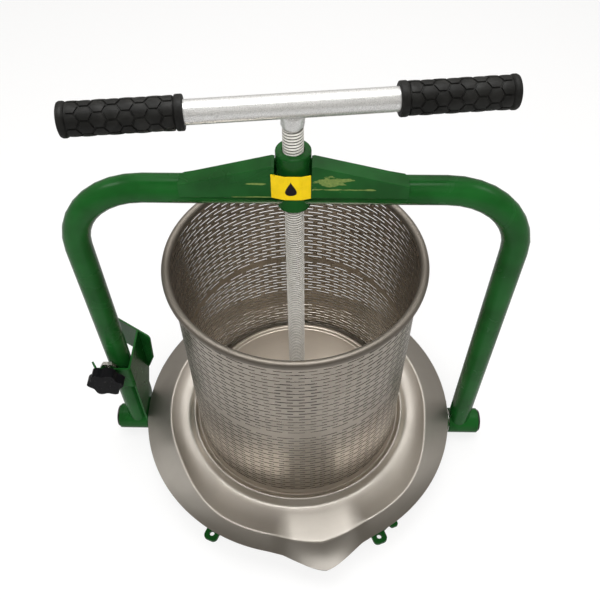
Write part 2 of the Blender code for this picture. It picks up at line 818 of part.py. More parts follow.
def basket_outline():
    """Radius and height of the basket's inner face, with a wider foot and an outward roll at the rim."""
    roll_x = BASKET_INNER_RADIUS + RIM_ROLL_RADIUS
    roll_z = BASKET_TOP_Z - RIM_ROLL_RADIUS
    foot_top = BASKET_FOOT_Z + BASKET_FOOT_HEIGHT
    outline = [
        (BASKET_INNER_RADIUS + BASKET_FOOT_STEP, BASKET_FOOT_Z + GAP),
        (BASKET_INNER_RADIUS + BASKET_FOOT_STEP, foot_top),
        (BASKET_INNER_RADIUS, foot_top + BASKET_FOOT_SLOPE),
    ]
    for bottom in slot_bottoms():
        outline += [(BASKET_INNER_RADIUS, bottom), (BASKET_INNER_RADIUS, bottom + SLOT_HEIGHT)]
    last = math.pi - math.radians(RIM_ROLL_DEGREES)
    return outline + arc_points((roll_x, roll_z), RIM_ROLL_RADIUS, math.pi, last, RIM_ROLL_STEPS)


def in_slot(face):
    """Whether a face of the spun wall lies in a slot. Each row's bridges stand over the slots of the next."""
    centre = face.calc_center_median()
    for row, bottom in enumerate(slot_bottoms()):
        if bottom < centre.z < bottom + SLOT_HEIGHT and centre.xy.length < BASKET_INNER_RADIUS + GAP:
            turned = math.atan2(centre.y, centre.x) / (2 * math.pi) * BASKET_SIDES
            column = math.floor(turned) + row % 2 * SLOT_COLUMNS // 2
            return column % SLOT_COLUMNS != 0
    return False


def make_basket():
    """The basket, spun from its inner face's outline and slotted before the sheet gets its thickness."""

    def build(edit):
        verts = [edit.verts.new((radius, 0, height)) for radius, height in basket_outline()]
        edges = [edit.edges.new(pair) for pair in zip(verts, verts[1:])]
        bmesh.ops.spin(
            edit,
            geom=verts + edges,
            axis=(0, 0, 1),
            cent=(0, 0, 0),
            angle=2 * math.pi,
            steps=BASKET_SIDES,
            use_merge=True,
        )
        bmesh.ops.remove_doubles(edit, verts=edit.verts, dist=MERGE_DISTANCE)
        bmesh.ops.recalc_face_normals(edit, faces=edit.faces)
        lowest = min(edit.faces, key=lambda face: face.calc_center_median().z)
        if lowest.normal.dot(lowest.calc_center_median()) > 0:
            bmesh.ops.reverse_faces(edit, faces=edit.faces)
        slots = [face for face in edit.faces if in_slot(face)]
        bmesh.ops.delete(edit, geom=slots, context="FACES")

    mesh = mesh_from("basket", build)
    smooth(mesh)
    thicken(add_part("basket", mesh, *STAINLESS_LOOK), BASKET_SHEET)


def tray_outline():
    """Radius and height of the tray's top face, from the middle outwards."""
    floor = BASKET_FOOT_Z
    crest = floor + BEAD_HEIGHT
    channel = floor - CHANNEL_DEPTH
    ridge = floor + RIDGE_HEIGHT
    return [
        (0, floor),
        (TRAY_FLOOR_RADIUS, floor),
        (BEAD_CREST_RADIUS - BEAD_HALF_WIDTH, crest - BEAD_HEIGHT / 3),
        (BEAD_CREST_RADIUS, crest),
        (BEAD_CREST_RADIUS + BEAD_HALF_WIDTH, crest - BEAD_HEIGHT / 3),
        (CHANNEL_INNER_RADIUS, channel),
        (CHANNEL_OUTER_RADIUS, channel + CHANNEL_LIFT),
        ((CHANNEL_OUTER_RADIUS + RIDGE_RADIUS) / 2, (channel + ridge) / 2),
        (RIDGE_RADIUS - RIDGE_HALF_WIDTH, ridge - RIDGE_HEIGHT / 5),
        (RIDGE_RADIUS + RIDGE_HALF_WIDTH, ridge),
        ((RIDGE_RADIUS + TRAY_RADIUS) / 2, floor - (TRAY_EDGE_DROP - RIDGE_HEIGHT) / 2 + FLANGE_CROWN),
        (TRAY_RADIUS, floor - TRAY_EDGE_DROP),
    ]


def share_between(value, start, end):
    """0 up to the start and 1 from the end on, straight between."""
    return min(max((value - start) / (end - start), 0), 1)


def bell(angle, full_angle, half_angle):
    """1 up to the full angle on either side of the spout and 0 from the half angle on, smooth between."""
    share = share_between(-abs(angle), -half_angle, -full_angle)
    return share * share * (3 - 2 * share)


def press_spout(edit):
    """Widens the channel towards the front, draws the rim out to a pointed spout and lowers all there."""
    channel = BASKET_FOOT_Z - CHANNEL_DEPTH
    slope_start = (CHANNEL_OUTER_RADIUS + RIDGE_RADIUS) / 2
    for vert in edit.verts:
        radius = math.hypot(vert.co.x, vert.co.y)
        if radius < CHANNEL_OUTER_RADIUS - MERGE_DISTANCE:
            continue
        angle = math.atan2(vert.co.y, vert.co.x)
        away = math.remainder(angle - SPOUT_TURN, 2 * math.pi)
        to_ridge = share_between(radius, CHANNEL_OUTER_RADIUS, RIDGE_RADIUS)
        to_rim = share_between(radius, RIDGE_RADIUS, TRAY_RADIUS)
        ridge_reach = RIDGE_WIDENING * bell(away, WIDE_ANGLE, NARROW_ANGLE)
        ridge_reach += RIDGE_CORNER_REACH * bell(away, 0, RIDGE_CORNER_ANGLE)
        rim_reach = SPOUT_REACH * bell(away, 0, SPOUT_TIP_ANGLE)
        reach = to_ridge * (ridge_reach + (rim_reach - ridge_reach) * to_rim)
        low = channel - SPOUT_DROP * share_between(radius, slope_start, TRAY_RADIUS)
        height = vert.co.z + (low - vert.co.z) * bell(away, 0, SPOUT_MOUTH_ANGLE)
        scale = (radius + reach) / radius
        vert.co = (vert.co.x * scale, vert.co.y * scale, height)


def make_tray():
    """The pouring tray, spun from its top face's outline and pressed to a spout."""

    def build(edit):
        verts = [
            edit.verts.new((radius * math.cos(SPOUT_TURN), radius * math.sin(SPOUT_TURN), height))
            for radius, height in tray_outline()
        ]
        edges = [edit.edges.new(pair) for pair in zip(verts, verts[1:])]
        bmesh.ops.spin(
            edit,
            geom=verts + edges,
            axis=(0, 0, 1),
            cent=(0, 0, 0),
            angle=2 * math.pi,
            steps=TRAY_SIDES,
            use_merge=True,
        )
        bmesh.ops.remove_doubles(edit, verts=edit.verts, dist=MERGE_DISTANCE)
        press_spout(edit)

    mesh = mesh_from("tray", build)
    orient(mesh, Vector((0, 0, 1)))
    smooth(mesh)
    thicken(add_part("tray", mesh, *STAINLESS_LOOK), TRAY_SHEET)


def hollow(obj, name, low, high):
    cut(obj, add_cutter(name, box_mesh(name, low, high)))


def make_beam():
    """The rectangular tube between the pivots."""
    half = BEAM_WIDTH / 2
    low = (-BEAM_HALF_LENGTH, -half, 0)
    high = (BEAM_HALF_LENGTH, half, BEAM_HEIGHT)
    beam = add_part("base_beam", box_mesh("base_beam", low, high), *PAINT_LOOK)
    hollow(
        beam,
        "beam_inside",
        (-BEAM_HALF_LENGTH - OVERSHOOT, BEAM_WALL - half, BEAM_WALL),
        (BEAM_HALF_LENGTH + OVERSHOOT, half - BEAM_WALL, BEAM_HEIGHT - BEAM_WALL),
    )


def make_arm(name, facing):
    """A tube from the side of the beam out under the tray ring."""
    half = ARM_WIDTH / 2
    near, far = sorted((facing * (BEAM_WIDTH / 2 + GAP), facing * ARM_REACH))
    arm = add_part(name, box_mesh(name, (-half, near, 0), (half, far, BEAM_HEIGHT)), *PAINT_LOOK)
    hollow(
        arm,
        name + "_inside",
        (BEAM_WALL - half, near - OVERSHOOT, BEAM_WALL),
        (half - BEAM_WALL, far + OVERSHOOT, BEAM_HEIGHT - BEAM_WALL),
    )


def rounded(corner, before, after, radius):
    """Points that round a corner of an outline between its two neighbours."""
    corner = Vector(corner)
    towards_before = (Vector(before) - corner).normalized()
    towards_after = (Vector(after) - corner).normalized()
    half_angle = towards_before.angle(towards_after) / 2
    centre = corner + (towards_before + towards_after).normalized() * radius / math.sin(half_angle)
    first = corner + towards_before * radius / math.tan(half_angle) - centre
    last = corner + towards_after * radius / math.tan(half_angle) - centre
    spread = first.angle_signed(last)
    points = []
    for step in range(FOOT_CORNER_STEPS + 1):
        turned_by = Matrix.Rotation(-spread * step / FOOT_CORNER_STEPS, 2)
        points.append(tuple(centre + turned_by @ first))
    return points


def foot_outline(with_ear):
    """Outline of a foot that points along +Y from the beam's side at y = 0, and its length."""
    half = FOOT_WIDTH / 2
    length = (FOOT_END[1] - BEAM_WIDTH / 2) / math.cos(FOOT_TURN)
    # The foot starts on the beam's side, which it meets at an angle.
    corners = [((-half, -half * math.tan(FOOT_TURN)), 0), ((half, half * math.tan(FOOT_TURN)), 0)]
    if with_ear:
        ear_tip = length - EAR_SETBACK
        corners += [
            ((half, length - EAR_ROOT), 0),
            ((EAR_REACH, ear_tip - EAR_LENGTH), 0),
            ((EAR_REACH, ear_tip), EAR_CORNER),
            ((EAR_REACH - EAR_LENGTH, ear_tip), EAR_CORNER),
            ((EAR_REACH - EAR_LENGTH, ear_tip - EAR_WEB), EAR_CORNER / 2),
            ((half, ear_tip), EAR_CORNER / 2),
        ]
    corners += [((half, length), FOOT_CORNER), ((-half, length), FOOT_CORNER)]
    outline = []
    for index, (corner, radius) in enumerate(corners):
        before = corners[index - 1][0]
        after = corners[(index + 1) % len(corners)][0]
        outline += rounded(corner, before, after, radius) if radius else [corner]
    return outline, length


def make_foot(name, side, facing):
    """A flat foot welded to the beam, splayed outwards, with a fixing hole in its rounded end."""
    outline, length = foot_outline(side * facing < 0)
    hole_centre = (0, length - FOOT_HOLE_INSET)
    hole = arc_points(hole_centre, FOOT_HOLE_RADIUS, 0, 2 * math.pi, FOOT_HOLE_SIDES)[:-1]
    mesh = flat_mesh(name, [outline, hole], FOOT_THICKNESS)
    start_x = FOOT_END[0] - (FOOT_END[1] - BEAM_WIDTH / 2) * math.tan(FOOT_TURN)
    splay = Matrix.Rotation(-FOOT_TURN, 4, "Z")
    place = Matrix.Translation((start_x, BEAM_WIDTH / 2 + GAP, FOOT_THICKNESS / 2))
    mirror = Matrix.Diagonal((side, facing, 1, 1))
    mesh.transform(mirror @ place @ splay)
    if side * facing < 0:
        mesh.flip_normals()
    add_part(name, mesh, *PAINT_LOOK)


def make_tray_ring():
    low = BEAM_HEIGHT + GAP
    high = BASKET_FOOT_Z - TRAY_SHEET - GAP
    outline = [
        (RING_INNER_RADIUS, high),
        (RING_OUTER_RADIUS, high),
        (RING_OUTER_RADIUS, low),
        (RING_INNER_RADIUS, low),
    ]
    turned_part("tray_ring", outline, RING_SIDES, PAINT_LOOK, closed=True)


def end_plate_hole(name):
    return cylinder_mesh(name, AXLE_RADIUS + GAP, END_PLATE + OVERSHOOT, PIVOT_SIDES)


def make_end_plate():
    """The plate that closes the right end of the beam and carries its axle."""
    inner = BEAM_HALF_LENGTH + GAP
    half = BEAM_WIDTH / 2
    mesh = box_mesh("end_plate_right", (inner, -half, 0), (inner + END_PLATE, half, BEAM_HEIGHT))
    plate = add_part("end_plate_right", mesh, *PAINT_LOOK)
    centre = (inner + END_PLATE / 2, 0, PIVOT_Z)
    hole = add_cutter("end_plate_hole", end_plate_hole("end_plate_hole"), centre, (0, QUARTER, 0))
    cut(plate, hole)


def bracket_web_outline():
    """The bracket's upright sheet in the YZ plane, from its top front corner downwards."""
    half = BEAM_WIDTH / 2
    return [
        (BRACKET_FRONT_Y + BRACKET_FOLD_RADIUS, BRACKET_TOP_Z),
        (BRACKET_FRONT_Y + BRACKET_FOLD_RADIUS, FRONT_FLANGE_BOTTOM_Z),
        (BRACKET_WAIST_FRONT_Y, FRONT_FLANGE_BOTTOM_Z),
        (BRACKET_WAIST_FRONT_Y, BRACKET_NECK_Z),
        (-half, BEAM_HEIGHT),
        (-half, BRACKET_FOOT_RISE),
        (half, BRACKET_FOOT_RISE),
        (half, BEAM_HEIGHT),
        (BRACKET_WAIST_REAR_Y, BRACKET_NECK_Z),
        (BRACKET_WAIST_REAR_Y, BRACKET_WAIST_Z),
        (BRACKET_REAR_Y, REAR_PLATE_TAPER_Z),
        (BRACKET_REAR_Y, BRACKET_TOP_Z),
    ]


def front_flange_outline():
    """The front flange in plan: its fold to the web, its run to the left and the lip bent back."""
    inner_x = -(BEAM_HALF_LENGTH + GAP)
    centre = (inner_x - BRACKET_FOLD_RADIUS, BRACKET_FRONT_Y + BRACKET_FOLD_RADIUS)
    outer = arc_points(centre, BRACKET_FOLD_RADIUS, 0, -QUARTER, BRACKET_FOLD_STEPS)
    inner = arc_points(
        centre, BRACKET_FOLD_RADIUS - BRACKET_SHEET, -QUARTER, 0, BRACKET_FOLD_STEPS
    )
    along_lip = Vector((-math.cos(LIP_TURN), math.sin(LIP_TURN)))
    across_lip = Vector((math.sin(LIP_TURN), math.cos(LIP_TURN)))
    lip_start = Vector((FRONT_FLANGE_END_X, BRACKET_FRONT_Y))
    lip_end = lip_start + along_lip * LIP_LENGTH
    inner_corner = lip_start + Vector((BRACKET_SHEET * math.tan(LIP_TURN / 2), BRACKET_SHEET))
    lip = [lip_start, lip_end, lip_end + across_lip * BRACKET_SHEET, inner_corner]
    tab = [(inner_x - BRACKET_SHEET, centre[1] + BRACKET_SHEET), (inner_x, centre[1] + BRACKET_SHEET)]
    return outer + [tuple(point) for point in lip] + inner + tab


def rear_plate_outline():
    """The rear plate seen from the front, its first length counted to the left from the web."""
    corner = (-REAR_PLATE_OVERHANG, BRACKET_TOP_Z)
    left_top = (REAR_PLATE_REACH, BRACKET_TOP_Z)
    side = (REAR_PLATE_CORNER - REAR_PLATE_OVERHANG, REAR_PLATE_SIDE_Z)
    return [
        left_top,
        (REAR_PLATE_REACH, REAR_PLATE_BOTTOM_Z),
        (BRACKET_SHEET, REAR_PLATE_BOTTOM_Z),
        (-BRACKET_SHEET, REAR_PLATE_TAPER_Z),
        side,
    ] + rounded(corner, side, left_top, REAR_PLATE_CORNER)


def make_bracket():
    """Folded sheet round the left leg: an upright web, a front flange with a lip and a rear plate."""
    inner = -(BEAM_HALF_LENGTH + GAP)
    middle = inner - BRACKET_SHEET / 2
    web = flat_mesh("lock_bracket", [bracket_web_outline()], BRACKET_SHEET)
    web.transform(Matrix.Translation((middle, 0, 0)) @ YZ_PLANE)
    bracket = add_part("lock_bracket", web, *PAINT_LOOK)

    height = BRACKET_TOP_Z - FRONT_FLANGE_BOTTOM_Z
    flange = flat_mesh("bracket_front_flange", [front_flange_outline()], height)
    flange_middle = (0, 0, FRONT_FLANGE_BOTTOM_Z + height / 2)
    join(bracket, add_cutter("bracket_front_flange", flange, flange_middle))
    plate = flat_mesh("bracket_rear_plate", [rear_plate_outline()], BRACKET_SHEET)
    plate_turn = (QUARTER, 0, math.pi - REAR_PLATE_TURN)
    join(bracket, add_cutter("bracket_rear_plate", plate, (middle, BRACKET_REAR_Y, 0), plate_turn))

    stud = cylinder_mesh("bracket_stud_hole", STUD_RADIUS + GAP, NUT_THICKNESS, STUD_SIDES)
    stud_centre = (LOCK_X, BRACKET_FRONT_Y + BRACKET_SHEET / 2, LOCK_Z)
    cut(bracket, add_cutter("bracket_stud_hole", stud, stud_centre, (QUARTER, 0, 0)))
    axle = end_plate_hole("bracket_axle_hole")
    cut(bracket, add_cutter("bracket_axle_hole", axle, (middle, 0, PIVOT_Z), (0, QUARTER, 0)))


# Takes a flat outline drawn in XY to the YZ plane, its X to Y and its Y to Z
YZ_PLANE = Matrix(((0, 0, 1, 0), (1, 0, 0, 0), (0, 1, 0, 0), (0, 0, 0, 1)))


def make_lock_nut():
    """The hexagon nut behind the front flange, bored for the stud."""
    outer_radius = NUT_ACROSS_FLATS / math.sqrt(3)
    front = BRACKET_FRONT_Y + BRACKET_SHEET + GAP
    hexagon = arc_points((0, 0), outer_radius, 0, 2 * math.pi, 6)[:-1]
    bore = arc_points((0, 0), STUD_RADIUS + GAP, 0, 2 * math.pi, STUD_SIDES)[:-1]
    mesh = flat_mesh("lock_nut", [hexagon, bore], NUT_THICKNESS)
    nut = add_part("lock_nut", mesh, ZINC, 0.35, 1.0)
    nut.location = (LOCK_X, front + NUT_THICKNESS / 2, LOCK_Z)
    nut.rotation_euler = (QUARTER, 0, 0)


def on_lock_axis(obj):
    """Puts a turned piece on the lock screw's axis, with its own +Z pointing to the front."""
    obj.location = (LOCK_X, 0, LOCK_Z)
    obj.rotation_euler = (QUARTER, 0, 0)


def make_lock_stud():
    high = -KNOB_BACK_Y + STUD_GRIP_DEPTH
    low = -STUD_TIP_Y
    outline = [
        (0, high),
        (STUD_RADIUS, high),
        (STUD_RADIUS, low + AXLE_CHAMFER),
        (STUD_RADIUS - AXLE_CHAMFER, low),
        (0, low),
    ]
    on_lock_axis(turned_part("lock_stud", outline, STUD_SIDES, (ZINC, 0.3, 1.0)))


def make_lock_knob():
    """A lobed knob with a round neck behind it, bored from the back for the stud."""
    count = KNOB_LOBES * KNOB_POINTS_PER_LOBE
    middle = KNOB_RADIUS / (1 + KNOB_LOBE_DEPTH_SHARE)
    outline = []
    for index in range(count):
        angle = 2 * math.pi * index / count
        radius = middle * (1 + KNOB_LOBE_DEPTH_SHARE * math.cos(KNOB_LOBES * angle))
        outline.append((radius * math.cos(angle), radius * math.sin(angle)))
    front = -KNOB_BACK_Y + KNOB_THICKNESS
    mesh = flat_mesh("lock_knob", [outline], KNOB_THICKNESS)
    mesh.transform(Matrix.Translation((0, 0, front - KNOB_THICKNESS / 2)))
    knob = add_part("lock_knob", mesh, BLACK_PLASTIC, 0.35, 0.0)
    on_lock_axis(knob)
    neck = cylinder_mesh("knob_neck", KNOB_NECK_RADIUS, 2 * KNOB_NECK_LENGTH, STUD_SIDES)
    # The neck stands out behind the knob and is buried in it by as much again.
    join(knob, add_cutter("knob_neck", neck, (LOCK_X, KNOB_BACK_Y, LOCK_Z), (QUARTER, 0, 0)))
    depth = STUD_GRIP_DEPTH + GAP + KNOB_NECK_LENGTH + OVERSHOOT
    bore = cylinder_mesh("knob_bore", STUD_RADIUS + GAP, depth, STUD_SIDES)
    bore_y = KNOB_BACK_Y - STUD_GRIP_DEPTH - GAP + depth / 2
    cut(knob, add_cutter("knob_bore", bore, (LOCK_X, bore_y, LOCK_Z), (QUARTER, 0, 0)))


def make_frame():
    """Everything that tilts with the frame tube, but not the screw."""
    length = BOSS_TOP_Z - BOSS_BOTTOM_Z + OVERSHOOT
    middle = (0, 0, (BOSS_TOP_Z + BOSS_BOTTOM_Z) / 2)
    boss_cutter = add_cutter(
        "boss_clearance",
        cylinder_mesh("boss_clearance", BOSS_RADIUS + GAP, length, PIVOT_SIDES),
        middle,
    )
    for word, side in SIDES.items():
        make_leg("leg_" + word, side, boss_cutter)
        make_sleeve("pivot_sleeve_" + word, side)
    make_boss()
    make_front_cover(boss_cutter)
    make_rear_cover()
    make_label()


def make_screw():
    """The plate with its hub, the screw and the handle."""
    make_press_plate()
    make_hub_cup()
    make_hub_cap()
    make_spindle()
    make_handle_bar()
    make_handle_weld()
    for word, side in SIDES.items():
        make_grip("grip_" + word, side)


def make_base():
    """Beam, arms, feet, pivots, tray and basket."""
    make_beam()
    for word, facing in {"front": -1, "rear": 1}.items():
        make_arm("arm_" + word, facing)
        for hand, side in SIDES.items():
            make_foot("foot_" + word + "_" + hand, side, facing)
    for word, side in SIDES.items():
        make_axle("axle_" + word, side)
        make_axle_cap("axle_cap_" + word, side)
        make_pivot_washer("pivot_washer_" + word, side)
    make_end_plate()
    make_tray_ring()
    make_tray()
    make_basket()


def make_lock():
    """The bracket round the left leg and the screw that clamps the leg."""
    make_bracket()
    make_lock_nut()
    make_lock_stud()
    make_lock_knob()


def main():
    make_base()
    make_frame()
    make_screw()
    make_lock()


main()
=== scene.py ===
"""Dresses the fruit press: detailed pieces, finishes, studio and camera. Metres, +Z up, the front to -Y."""

import json
import math

import bmesh
import bpy
from bpy.props import FloatProperty, FloatVectorProperty, IntProperty, PointerProperty
from bpy.types import Operator, Panel, PropertyGroup
from mathutils import Matrix, Vector, noise


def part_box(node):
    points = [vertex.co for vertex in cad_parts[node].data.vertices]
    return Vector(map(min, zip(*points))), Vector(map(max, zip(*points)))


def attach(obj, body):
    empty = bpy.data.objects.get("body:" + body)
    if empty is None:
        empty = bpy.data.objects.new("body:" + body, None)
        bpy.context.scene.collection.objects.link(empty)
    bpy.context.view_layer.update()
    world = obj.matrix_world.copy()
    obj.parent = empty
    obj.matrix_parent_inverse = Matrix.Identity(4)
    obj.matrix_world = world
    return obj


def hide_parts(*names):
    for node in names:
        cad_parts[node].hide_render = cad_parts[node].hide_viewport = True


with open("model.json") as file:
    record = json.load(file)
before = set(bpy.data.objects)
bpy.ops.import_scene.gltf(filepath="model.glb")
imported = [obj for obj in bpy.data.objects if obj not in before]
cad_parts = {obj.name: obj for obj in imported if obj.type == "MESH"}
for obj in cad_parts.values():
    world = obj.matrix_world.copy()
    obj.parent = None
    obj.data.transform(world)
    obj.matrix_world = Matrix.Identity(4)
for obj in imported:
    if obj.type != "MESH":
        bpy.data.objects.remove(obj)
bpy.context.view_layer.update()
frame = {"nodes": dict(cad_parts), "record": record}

bl_info = {
    "name": "Fruit press",
    "version": (1, 0, 0),
    "blender": (4, 5, 0),
    "location": "3D View > Sidebar > Fruit press",
    "description": "Pieces and finishes of a screw press with a slotted basket",
    "category": "Add Mesh",
}

NODES = frame["nodes"]
RECORD = frame["record"]
BODY_OF = {node: body for body, nodes in RECORD["behaviour"]["bodies"].items() for node in nodes}
MERGE = 0.00001
FULL_TURN = 2 * math.pi


# Sizes and colours that a user may change


def size(name, description, value):
    return FloatProperty(
        name=name, description=description, default=value, min=0, unit="LENGTH", precision=5
    )


def turned(name, description, degrees):
    return FloatProperty(name=name, description=description, default=math.radians(degrees), unit="ROTATION")


def count(name, description, value):
    return IntProperty(name=name, description=description, default=value, min=1)


def watts(name, description, value):
    return FloatProperty(name=name, description=description, default=value, min=0, unit="POWER")


def tint(name, description, value):
    return FloatVectorProperty(
        name=name, description=description, default=value, size=3, min=0, max=1, subtype="COLOR"
    )


class PressColours(PropertyGroup):
    """Colours of the finishes."""

    enamel: tint("Enamel", "Green enamel of the frame", (0.0095, 0.086, 0.0145))
    enamel_dark: tint("Thick enamel", "Enamel where it lies thicker", (0.0065, 0.060, 0.0095))
    primer: tint("Primer", "Olive coat that shows where the enamel is scraped", (0.30, 0.36, 0.10))
    stainless: tint("Stainless", "Basket and press plate", (0.56, 0.505, 0.44))
    tray: tint("Tray", "Spun stainless of the tray", (0.57, 0.535, 0.487))
    thread: tint("Thread", "Plated screw thread", (0.93, 0.91, 0.86))
    thread_worn: tint("Worn thread", "Plating where it is worn", (0.78, 0.76, 0.71))
    # Dark colour towards the thread's root
    thread_root: tint("Grease", "Old grease in the thread", (0.10, 0.095, 0.08))
    silver: tint("Silver paint", "Paint of the handle bar", (0.72, 0.72, 0.71))
    silver_speck: tint("Silver specks", "Bright specks in the paint", (0.98, 0.98, 0.97))
    zinc: tint("Zinc", "Nut, stud and washers", (0.70, 0.69, 0.65))
    dark_steel: tint("Dark steel", "Axles and hub", (0.12, 0.115, 0.11))
    rubber: tint("Rubber", "Handle grips", (0.0065, 0.0065, 0.006))
    plastic: tint("Knob plastic", "Lock knob", (0.005, 0.005, 0.006))
    dust: tint("Dust", "Dust on the lock knob", (0.2, 0.2, 0.19))
    label: tint("Label", "Label plate", (0.83, 0.58, 0.007))
    ink: tint("Ink", "Drop mark on the label", (0.012, 0.008, 0.012))


class SpindleSizes(PropertyGroup):
    """Sizes of the screw."""

    crest: size("Crest radius", "Outer radius of the thread", 0.0099)
    root: size("Root radius", "Inner radius of the thread", 0.0086)
    pitch: size("Pitch", "Rise of the thread in one turn", 0.0032)
    foot: size("Foot", "Height of the plain foot over the spindle's lowest point", 0.0075)
    foot_radius: size("Foot radius", "Radius of the disc that turns in the hub", 0.0138)
    sides: count("Sides", "Faces round the screw", 28)


class BasketSizes(PropertyGroup):
    """Sizes of the basket and its slots."""

    radius: size("Inner radius", "Inner radius of the wall", 0.1348)
    sheet: size("Sheet", "Thickness of the sheet", 0.0008)
    foot_z: size("Foot", "Height of the foot", 0.0673)
    top_z: size("Top", "Height of the rim", 0.369)
    roll: size("Roll", "Radius of the rolled rim", 0.0046)
    slots: count("Slots", "Slots in one row", 34)
    rows: count("Rows", "Rows of slots in each of the two fields", 24)
    pitch: size("Row pitch", "Distance between rows", 0.00575)
    slot_height: size("Slot height", "Height of a slot", 0.0017)
    first_row: size("First row", "Height of the lowest row", 0.0805)
    band: size("Band", "Plain band between the fields, over the row pitch", 0.0075)


class TraySizes(PropertyGroup):
    """Sizes of the tray."""

    sheet: size("Sheet", "Thickness of the sheet", 0.0015)
    floor_z: size("Floor", "Height of the floor's top face", 0.067)
    channel_end: size("Channel", "Radius at which the channel's floor starts to rise", 0.160)
    ridge: size("Ridge", "Radius of the ridge at the sides", 0.177)
    rim: size("Rim", "Radius of the tray", 0.2109)
    widening: size("Widening", "How far the ridge stands further out towards the front", 0.0155)
    corner: size("Corner", "How far the ridge is drawn out to a corner before the spout", 0.0055)
    reach: size("Spout reach", "How far the spout stands out", 0.0196)
    lip: size("Spout lip", "How far the channel falls to the ridge before the spout", 0.0018)
    drop: size("Spout drop", "How far the spout falls from the ridge to its tip", 0.0102)
    fold: size("Spout fold", "Depth of the fold along the middle of the spout", 0.003)
    turn: turned("Spout turn", "Direction of the spout", -80)
    steps: count("Steps", "Faces round the tray", 288)


class GripSizes(PropertyGroup):
    """Sizes of the rubber grips."""

    inner_end: size("Inner end", "Distance of the collar from the middle of the bar", 0.0933)
    outer_end: size("Outer end", "Distance of the closed end from the middle of the bar", 0.199)
    bore: size("Bore", "Radius of the hole for the bar", 0.0113)
    base: size("Base radius", "Radius between the pads", 0.0135)
    pad: size("Pad radius", "Radius over the pads", 0.0147)
    lip: size("Lip radius", "Radius of the collar and the end lip", 0.0156)
    around: count("Pads around", "Pads in one ring", 7)
    along: count("Pads along", "Rings of pads", 8)
    hexagon: size("Hexagon side", "Side of one hexagon with its groove", 0.0077)
    groove: size("Groove", "Width of the groove between pads", 0.0019)


class StudioSizes(PropertyGroup):
    """Floor, room and lamps."""

    floor: size("Floor", "Half the width of the floor", 12)
    floor_colour: tint("Floor colour", "Colour of the floor", (0.93, 0.93, 0.93))
    room_front: tint("Room in front", "Colour of the room on the camera's side", (0.2, 0.185, 0.16))
    room_rear: tint("Room at the rear", "Colour of the room behind the press", (0.42, 0.4, 0.37))
    backdrop: tint("Backdrop", "Colour of the room where the camera sees it", (0.95, 0.95, 0.95))
    overhead_power: watts("Overhead power", "Power of the lamp over the press", 25)
    rear_power: watts("Rear power", "Power of the large lamp behind the press", 8)
    left_power: watts("Left power", "Power of the left lamp", 5)
    right_power: watts("Right power", "Power of the right lamp", 3)
    front_power: watts("Front power", "Power of the front lamp, which metal doesn't mirror", 40)


# Mesh helpers


def mark_sharp(mesh, degrees):
    """Smooths a mesh's faces and keeps the edges above the angle sharp."""
    mesh.shade_smooth()
    mesh.set_sharp_from_angle(angle=math.radians(degrees))


def mesh_of(edit, name, sharp=35):
    """Turns a bmesh into a mesh with smooth faces and sharp edges above the angle."""
    mesh = bpy.data.meshes.new(name)
    edit.to_mesh(mesh)
    edit.free()
    mark_sharp(mesh, sharp)
    return mesh


def join_into(edit, other):
    """Adds one bmesh's faces to another."""
    scratch = bpy.data.meshes.new("scratch")
    other.to_mesh(scratch)
    other.free()
    edit.from_mesh(scratch)
    bpy.data.meshes.remove(scratch)


def dress(name, mesh, material, node):
    """Links a piece that stands for a node of the frame and rides on its body."""
    mesh.materials.clear()
    mesh.materials.append(material)
    obj = bpy.data.objects.new(name, mesh)
    bpy.context.scene.collection.objects.link(obj)
    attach(obj, BODY_OF[node])
    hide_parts(node)
    return obj


def thicken_sheet(obj, thickness, side, sharp=40):
    """Gives a sheet its thickness in its mesh, outwards at side 1 and inwards at side -1."""
    sheet = obj.modifiers.new("sheet", "SOLIDIFY")
    sheet.thickness = thickness
    sheet.offset = side
    graph = bpy.context.evaluated_depsgraph_get()
    mesh = bpy.data.meshes.new_from_object(obj.evaluated_get(graph))
    obj.modifiers.clear()
    obj.data = mesh
    mark_sharp(mesh, sharp)


def rounded_copy(node, material, width, ending, segments=2, corner=32, flat=0.5):
    """A merged copy of a node's mesh whose corners, above an angle, are rounded by a width."""
    edit = bmesh.new()
    edit.from_mesh(NODES[node].data)
    bmesh.ops.remove_doubles(edit, verts=edit.verts, dist=MERGE)
    bmesh.ops.dissolve_limit(edit, angle_limit=math.radians(flat), verts=edit.verts, edges=edit.edges)
    obj = dress(f"{node}_{ending}", mesh_of(edit, node), material, node)
    if width:
        bevel = obj.modifiers.new("rounded edges", "BEVEL")
        bevel.width = width
        bevel.segments = segments
        bevel.limit_method = "ANGLE"
        bevel.angle_limit = math.radians(corner)
        bevel.harden_normals = True


def outline(edit, points):
    """A chain of edges through (radius, height) points at +X."""
    verts = [edit.verts.new((radius, 0, height)) for radius, height in points]
    edges = [edit.edges.new(pair) for pair in zip(verts, verts[1:])]
    return verts + edges


def spin_round(edit, geom, steps, turns=1.0, rise=0.0):
    """Spins about Z. A rise winds the shape up by that much in one turn."""
    bmesh.ops.spin(
        edit,
        geom=geom,
        cent=(0, 0, 0),
        axis=(0, 0, 1),
        dvec=(0, 0, rise / steps),
        angle=FULL_TURN * turns,
        steps=round(steps * turns),
        use_merge=turns == 1.0 and not rise,
        use_duplicate=False,
    )
    bmesh.ops.remove_doubles(edit, verts=edit.verts, dist=MERGE)


def face_outwards(edit, face, outward):
    """Turns all faces round when one of them looks away from where it should."""
    if face.normal.dot(outward) < 0:
        bmesh.ops.reverse_faces(edit, faces=edit.faces)


# Node helpers


def add(tree, kind, **values):
    node = tree.nodes.new(kind)
    for key, value in values.items():
        setattr(node, key, value)
    return node


